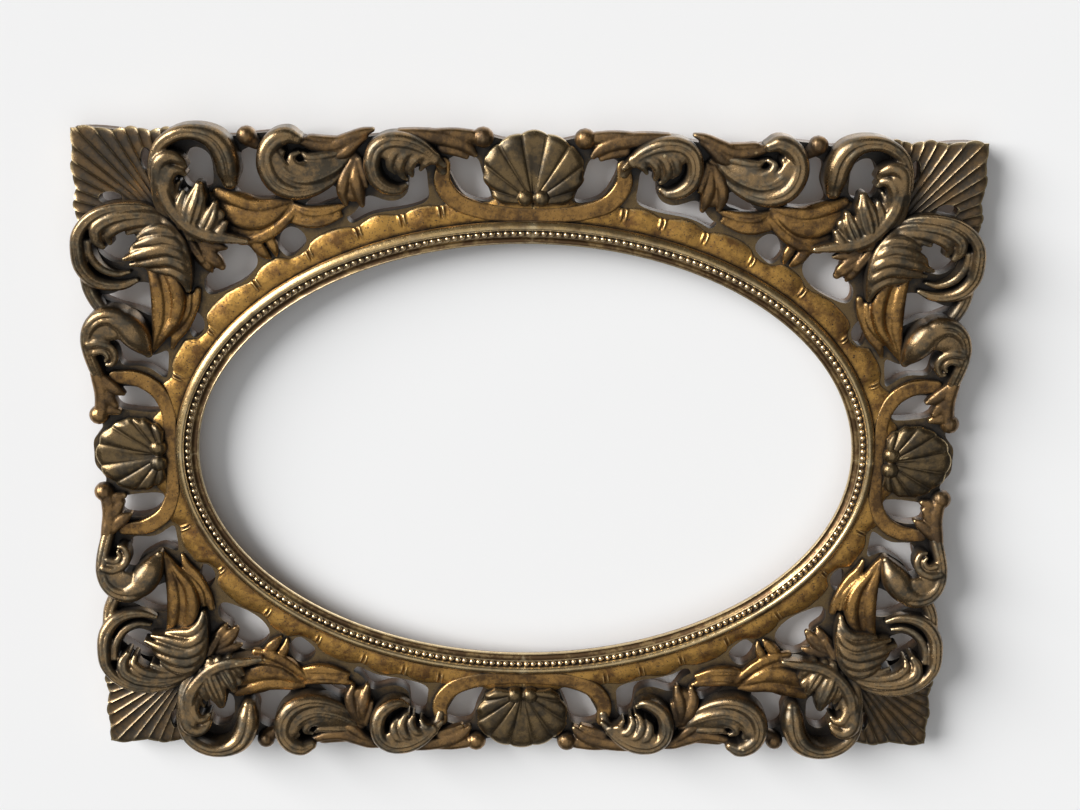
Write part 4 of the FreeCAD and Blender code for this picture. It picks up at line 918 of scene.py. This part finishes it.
# Straps
# A flat U-shaped strap with raised edges springs from the scrolls and carries each
# shell, close beside the moulding.
RAIL_STRAP = ((59.5, 206, 4.5, 22.5), (60, 193, 5.8, 22), (51, 181, 6, 21.6),
              (35, 174.8, 5.6, 21.2), (17, 172.6, 5.4, 21), (0, 172, 5.4, 21))
SIDE_STRAP = ((283, 56, 4.5, 22.5), (268, 54.5, 5.4, 22), (255, 46, 5.4, 21.6),
              (248.5, 32, 5, 21.2), (247.5, 16, 4.8, 21), (247.3, 0, 4.8, 21))
for name, half_path, side, up in (
        ("strap_top", RAIL_STRAP, 1, 1), ("strap_bottom", RAIL_STRAP, 1, -1),
        ("strap_right", SIDE_STRAP, 1, 1), ("strap_left", SIDE_STRAP, -1, 1)):
    if half_path is RAIL_STRAP:
        other = [(-x, z, half, crown) for x, z, half, crown in reversed(half_path[:-1])]
    else:
        other = [(x, -z, half, crown) for x, z, half, crown in reversed(half_path[:-1])]
    path = [(x * side, z * up, half, crown) for x, z, half, crown in list(half_path) + other]
    strap = carve(name, [strand(path, fullness=0.36, hollow=0.35)])
    finish_piece(strap, "reeded_" + name, leaf_gilt, "gilt_leaf", name)

# Shells
# A scallop shell stands at the middle of each side: round ribs that spread from two
# small knobs, with a waved lip. Each is carved alone and glued on.
SHELL_RIBS = 9
SHELL_HALF_ANGLE = math.radians(96)
SHELL_BASE = 2.2
SHELL_SWELL = 5.0
SHELL_FIRST_SHARE = 0.06
RIB_START = 0.3
RIB_HEIGHT = 1.5
LIP_SCALLOP_SHARE = 0.032
CLEFT_DEPTH = 1.6
CLEFT_ANGLE = 0.16
KNOB_GAP = 5.7
KNOB_PLACE = 2.5
KNOB_RADIUS = 6.0
KNOB_CROWN = 27.6
RAIL_REACHES = (47, 46, 45.5, 43.5, 37, 28, 21.5)
SIDE_REACHES = (46, 44, 40, 35, 29, 23, 18)
SHELLS = (
    ("shell_top", (0, 182), math.pi / 2, RAIL_REACHES),
    ("shell_bottom", (0, -182), -math.pi / 2, RAIL_REACHES),
    ("shell_right", (253.5, 0), 0.0, SIDE_REACHES),
    ("shell_left", (-253.5, 0), math.pi, SIDE_REACHES),
)


def shell(name, apex, middle, reaches):
    """A shell that opens from apex; reaches give its length from the middle to the sides."""
    def place(row, column):
        swing = (column * 2 - 1) * SHELL_HALF_ANGLE
        spread = abs(column * 2 - 1) * (len(reaches) - 1)
        step = min(int(spread), len(reaches) - 2)
        ease = spread - step
        ease = ease * ease * (3 - 2 * ease)
        reach = reaches[step] * (1 - ease) + reaches[step + 1] * ease
        rib = abs(math.sin(math.pi * column * SHELL_RIBS)) ** 0.6
        share = SHELL_FIRST_SHARE + (1 - SHELL_FIRST_SHARE) * row
        run = reach * share * (1 - LIP_SCALLOP_SHARE * (1 - rib) * share ** 3)
        swell = math.sin(math.pi * min(1.0, 0.20 + share * 0.66)) ** 0.8
        height = BOARD_FRONT + SHELL_BASE + SHELL_SWELL * swell
        rib_height = RIB_START + RIB_HEIGHT * min(1.0, share * 1.2)
        height += rib * rib_height * min(1.0, (1.02 - share) * 9)
        height -= CLEFT_DEPTH * math.exp(-(swing / CLEFT_ANGLE) ** 2)
        turn = middle + swing
        return (apex[0] + run * math.cos(turn), apex[1] + run * math.sin(turn), height)

    body = relief_grid(name, 36, SHELL_RIBS * 16, place)
    along = Vector((math.cos(middle), math.sin(middle)))
    sideways = Vector((-along.y, along.x))
    knobs = []
    for side in (-1, 1):
        x = apex[0] + sideways.x * KNOB_GAP * side + along.x * KNOB_PLACE
        z = apex[1] + sideways.y * KNOB_GAP * side + along.y * KNOB_PLACE
        knobs.append(knob(x, z, KNOB_RADIUS, KNOB_CROWN))
    root = carve(name + "_knobs", knobs)
    pick(body)
    root.select_set(True)
    bpy.ops.object.join()
    return body


shell_gilt = gilded("shell_gilt", (0.215, 0.145, 0.068, 1), (0.075, 0.058, 0.038, 1),
                    (0.66, 0.50, 0.27, 1), bronzing=0.5, specks=0.4, hollow=0.66,
                    reach=0.010, bump=0.3)
for name, apex, middle, reaches in SHELLS:
    piece = shell(name, apex, middle, reaches)
    finish_piece(piece, "scallop_" + name, shell_gilt, "bronzed_gilt", name)


# Hardware on the back
# Brass turn buttons hold the picture and zinc-plated steel hangers hang the frame, all
# with steel screws. Four felt discs keep it off the wall.
DRAWN_LINES = (90.0, 2500.0, 2500.0)


def plain_metal(name, colour, dull, roughness):
    material, tree, shader = new_finish(name)
    spot = add(tree, "ShaderNodeTexCoord").outputs["Object"]
    cloud = noise(tree, spot, 260.0, 5.0, 0.6)
    tarnish = fade(tree, cloud, 0.42, 0.66)
    tree.links.new(blend(tree, tarnish, colour, dull), shader.inputs["Base Color"])
    rough = add(tree, "ShaderNodeMix", {0: tarnish, 2: roughness, 3: roughness + 0.25}).outputs[0]
    tree.links.new(rough, shader.inputs["Roughness"])
    drawn = add(tree, "ShaderNodeMapping", {"Vector": spot, "Scale": DRAWN_LINES}).outputs[0]
    relief = add(tree, "ShaderNodeBump", {
        "Strength": 0.15, "Distance": 0.0002, "Height": noise(tree, drawn, 1.0, 3.0)})
    tree.links.new(relief.outputs["Normal"], shader.inputs["Normal"])
    shader.inputs["Metallic"].default_value = 1.0
    return material


brass = plain_metal("aged_brass", (0.72, 0.50, 0.22, 1), (0.30, 0.19, 0.08, 1), 0.28)
steel = plain_metal("zinc_steel", (0.62, 0.63, 0.64, 1), (0.36, 0.35, 0.33, 1), 0.32)

felt, tree, shader = new_finish("grey_felt")
spot = add(tree, "ShaderNodeTexCoord").outputs["Object"]
fluff = noise(tree, spot, 1500.0, 6.0, 0.7)
pile = blend(tree, fluff, (0.10, 0.10, 0.10, 1), (0.26, 0.25, 0.24, 1))
tree.links.new(pile, shader.inputs["Base Color"])
relief = add(tree, "ShaderNodeBump", {"Strength": 0.6, "Distance": 0.0005, "Height": fluff})
tree.links.new(relief.outputs["Normal"], shader.inputs["Normal"])
shader.inputs["Roughness"].default_value = 0.95
shader.inputs["Sheen Weight"].default_value = 0.4

for name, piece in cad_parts.items():
    if name.startswith("turn_button"):
        finish = brass
    elif name.startswith("hanger") or name == "mounting_screws":
        finish = steel
    elif name == "felt_bumpers":
        finish = felt
    else:
        continue
    coat(piece, finish)

# Wall, lamps and camera
# A pale wall stands just behind the frame. It is clear from behind, so that the back of
# the frame can be looked at, and keeps the frame's shadow in front.
WALL_SIZE = 6
WALL_GAP = 0.0004
WALL_SHADE = 0.885
SKYLIGHTS = (
    ("key_skylight", 4.4, 40, (0.96, 0.62, -0.50)),
    ("front_skylight", 0.66, 84, (0.1, 0.98, 0.05)),
)
REAR_LAMP_PLACE = Vector((0.9, 2.2, 1.0))
REAR_LAMP_SIZE = 1.2
REAR_LAMP_POWER = 25.0
ROOM_COLOUR = (0.97, 0.99, 1.0, 1)
ROOM_LIGHT = 0.10
LENS_LENGTH = 55.0
SENSOR_WIDTH = 36.0
CAMERA_PLACE = (-0.03435, -1.10356, 0.39901)
CAMERA_TURNS = (71.634, -1.290, -1.801)

bpy.ops.object.select_all(action="DESELECT")
bpy.ops.mesh.primitive_plane_add(
    size=WALL_SIZE, location=(0, WALL_GAP, 0), rotation=(math.pi / 2, 0, 0))
wall = bpy.context.object
wall.name = "wall"
bpy.ops.object.transform_apply(location=True, rotation=True, scale=True)
wall.visible_shadow = False
plaster, tree, shader = new_finish("plaster")
shader.inputs["Base Color"].default_value = (WALL_SHADE, WALL_SHADE, WALL_SHADE, 1)
shader.inputs["Roughness"].default_value = 0.9
shader.inputs["Specular IOR Level"].default_value = 0.0
clear = add(tree, "ShaderNodeBsdfTransparent")
seen_from = add(tree, "ShaderNodeNewGeometry").outputs["Backfacing"]
mix = add(tree, "ShaderNodeMixShader", {
    0: seen_from, 1: shader.outputs[0], 2: clear.outputs[0]})
tree.links.new(mix.outputs[0], tree.nodes["Material Output"].inputs["Surface"])
wall.data.materials.append(plaster)

for name, strength, spread, shines in SKYLIGHTS:
    sky = bpy.data.lights.new(name, "SUN")
    sky.energy = strength
    sky.angle = math.radians(spread)
    holder = put_in_scene(name, sky)
    holder.rotation_euler = Vector(shines).to_track_quat("-Z", "Y").to_euler()
rear = bpy.data.lights.new("rear_fill", "AREA")
rear.shape = "RECTANGLE"
rear.size = REAR_LAMP_SIZE
rear.size_y = REAR_LAMP_SIZE
rear.energy = REAR_LAMP_POWER
holder = put_in_scene("rear_fill", rear)
holder.location = REAR_LAMP_PLACE
holder.rotation_euler = (-REAR_LAMP_PLACE).to_track_quat("-Z", "Y").to_euler()

room = bpy.data.worlds.new("studio")
bpy.context.scene.world = room
room.use_nodes = True
background = room.node_tree.nodes["Background"]
background.inputs["Color"].default_value = ROOM_COLOUR
background.inputs["Strength"].default_value = ROOM_LIGHT

lens = bpy.data.cameras.new("camera")
lens.lens = LENS_LENGTH
lens.sensor_width = SENSOR_WIDTH
camera = put_in_scene("camera", lens)
camera.location = CAMERA_PLACE
camera.rotation_euler = [math.radians(angle) for angle in CAMERA_TURNS]
bpy.context.scene.camera = camera
bpy.context.scene.view_settings.view_transform = "Standard"
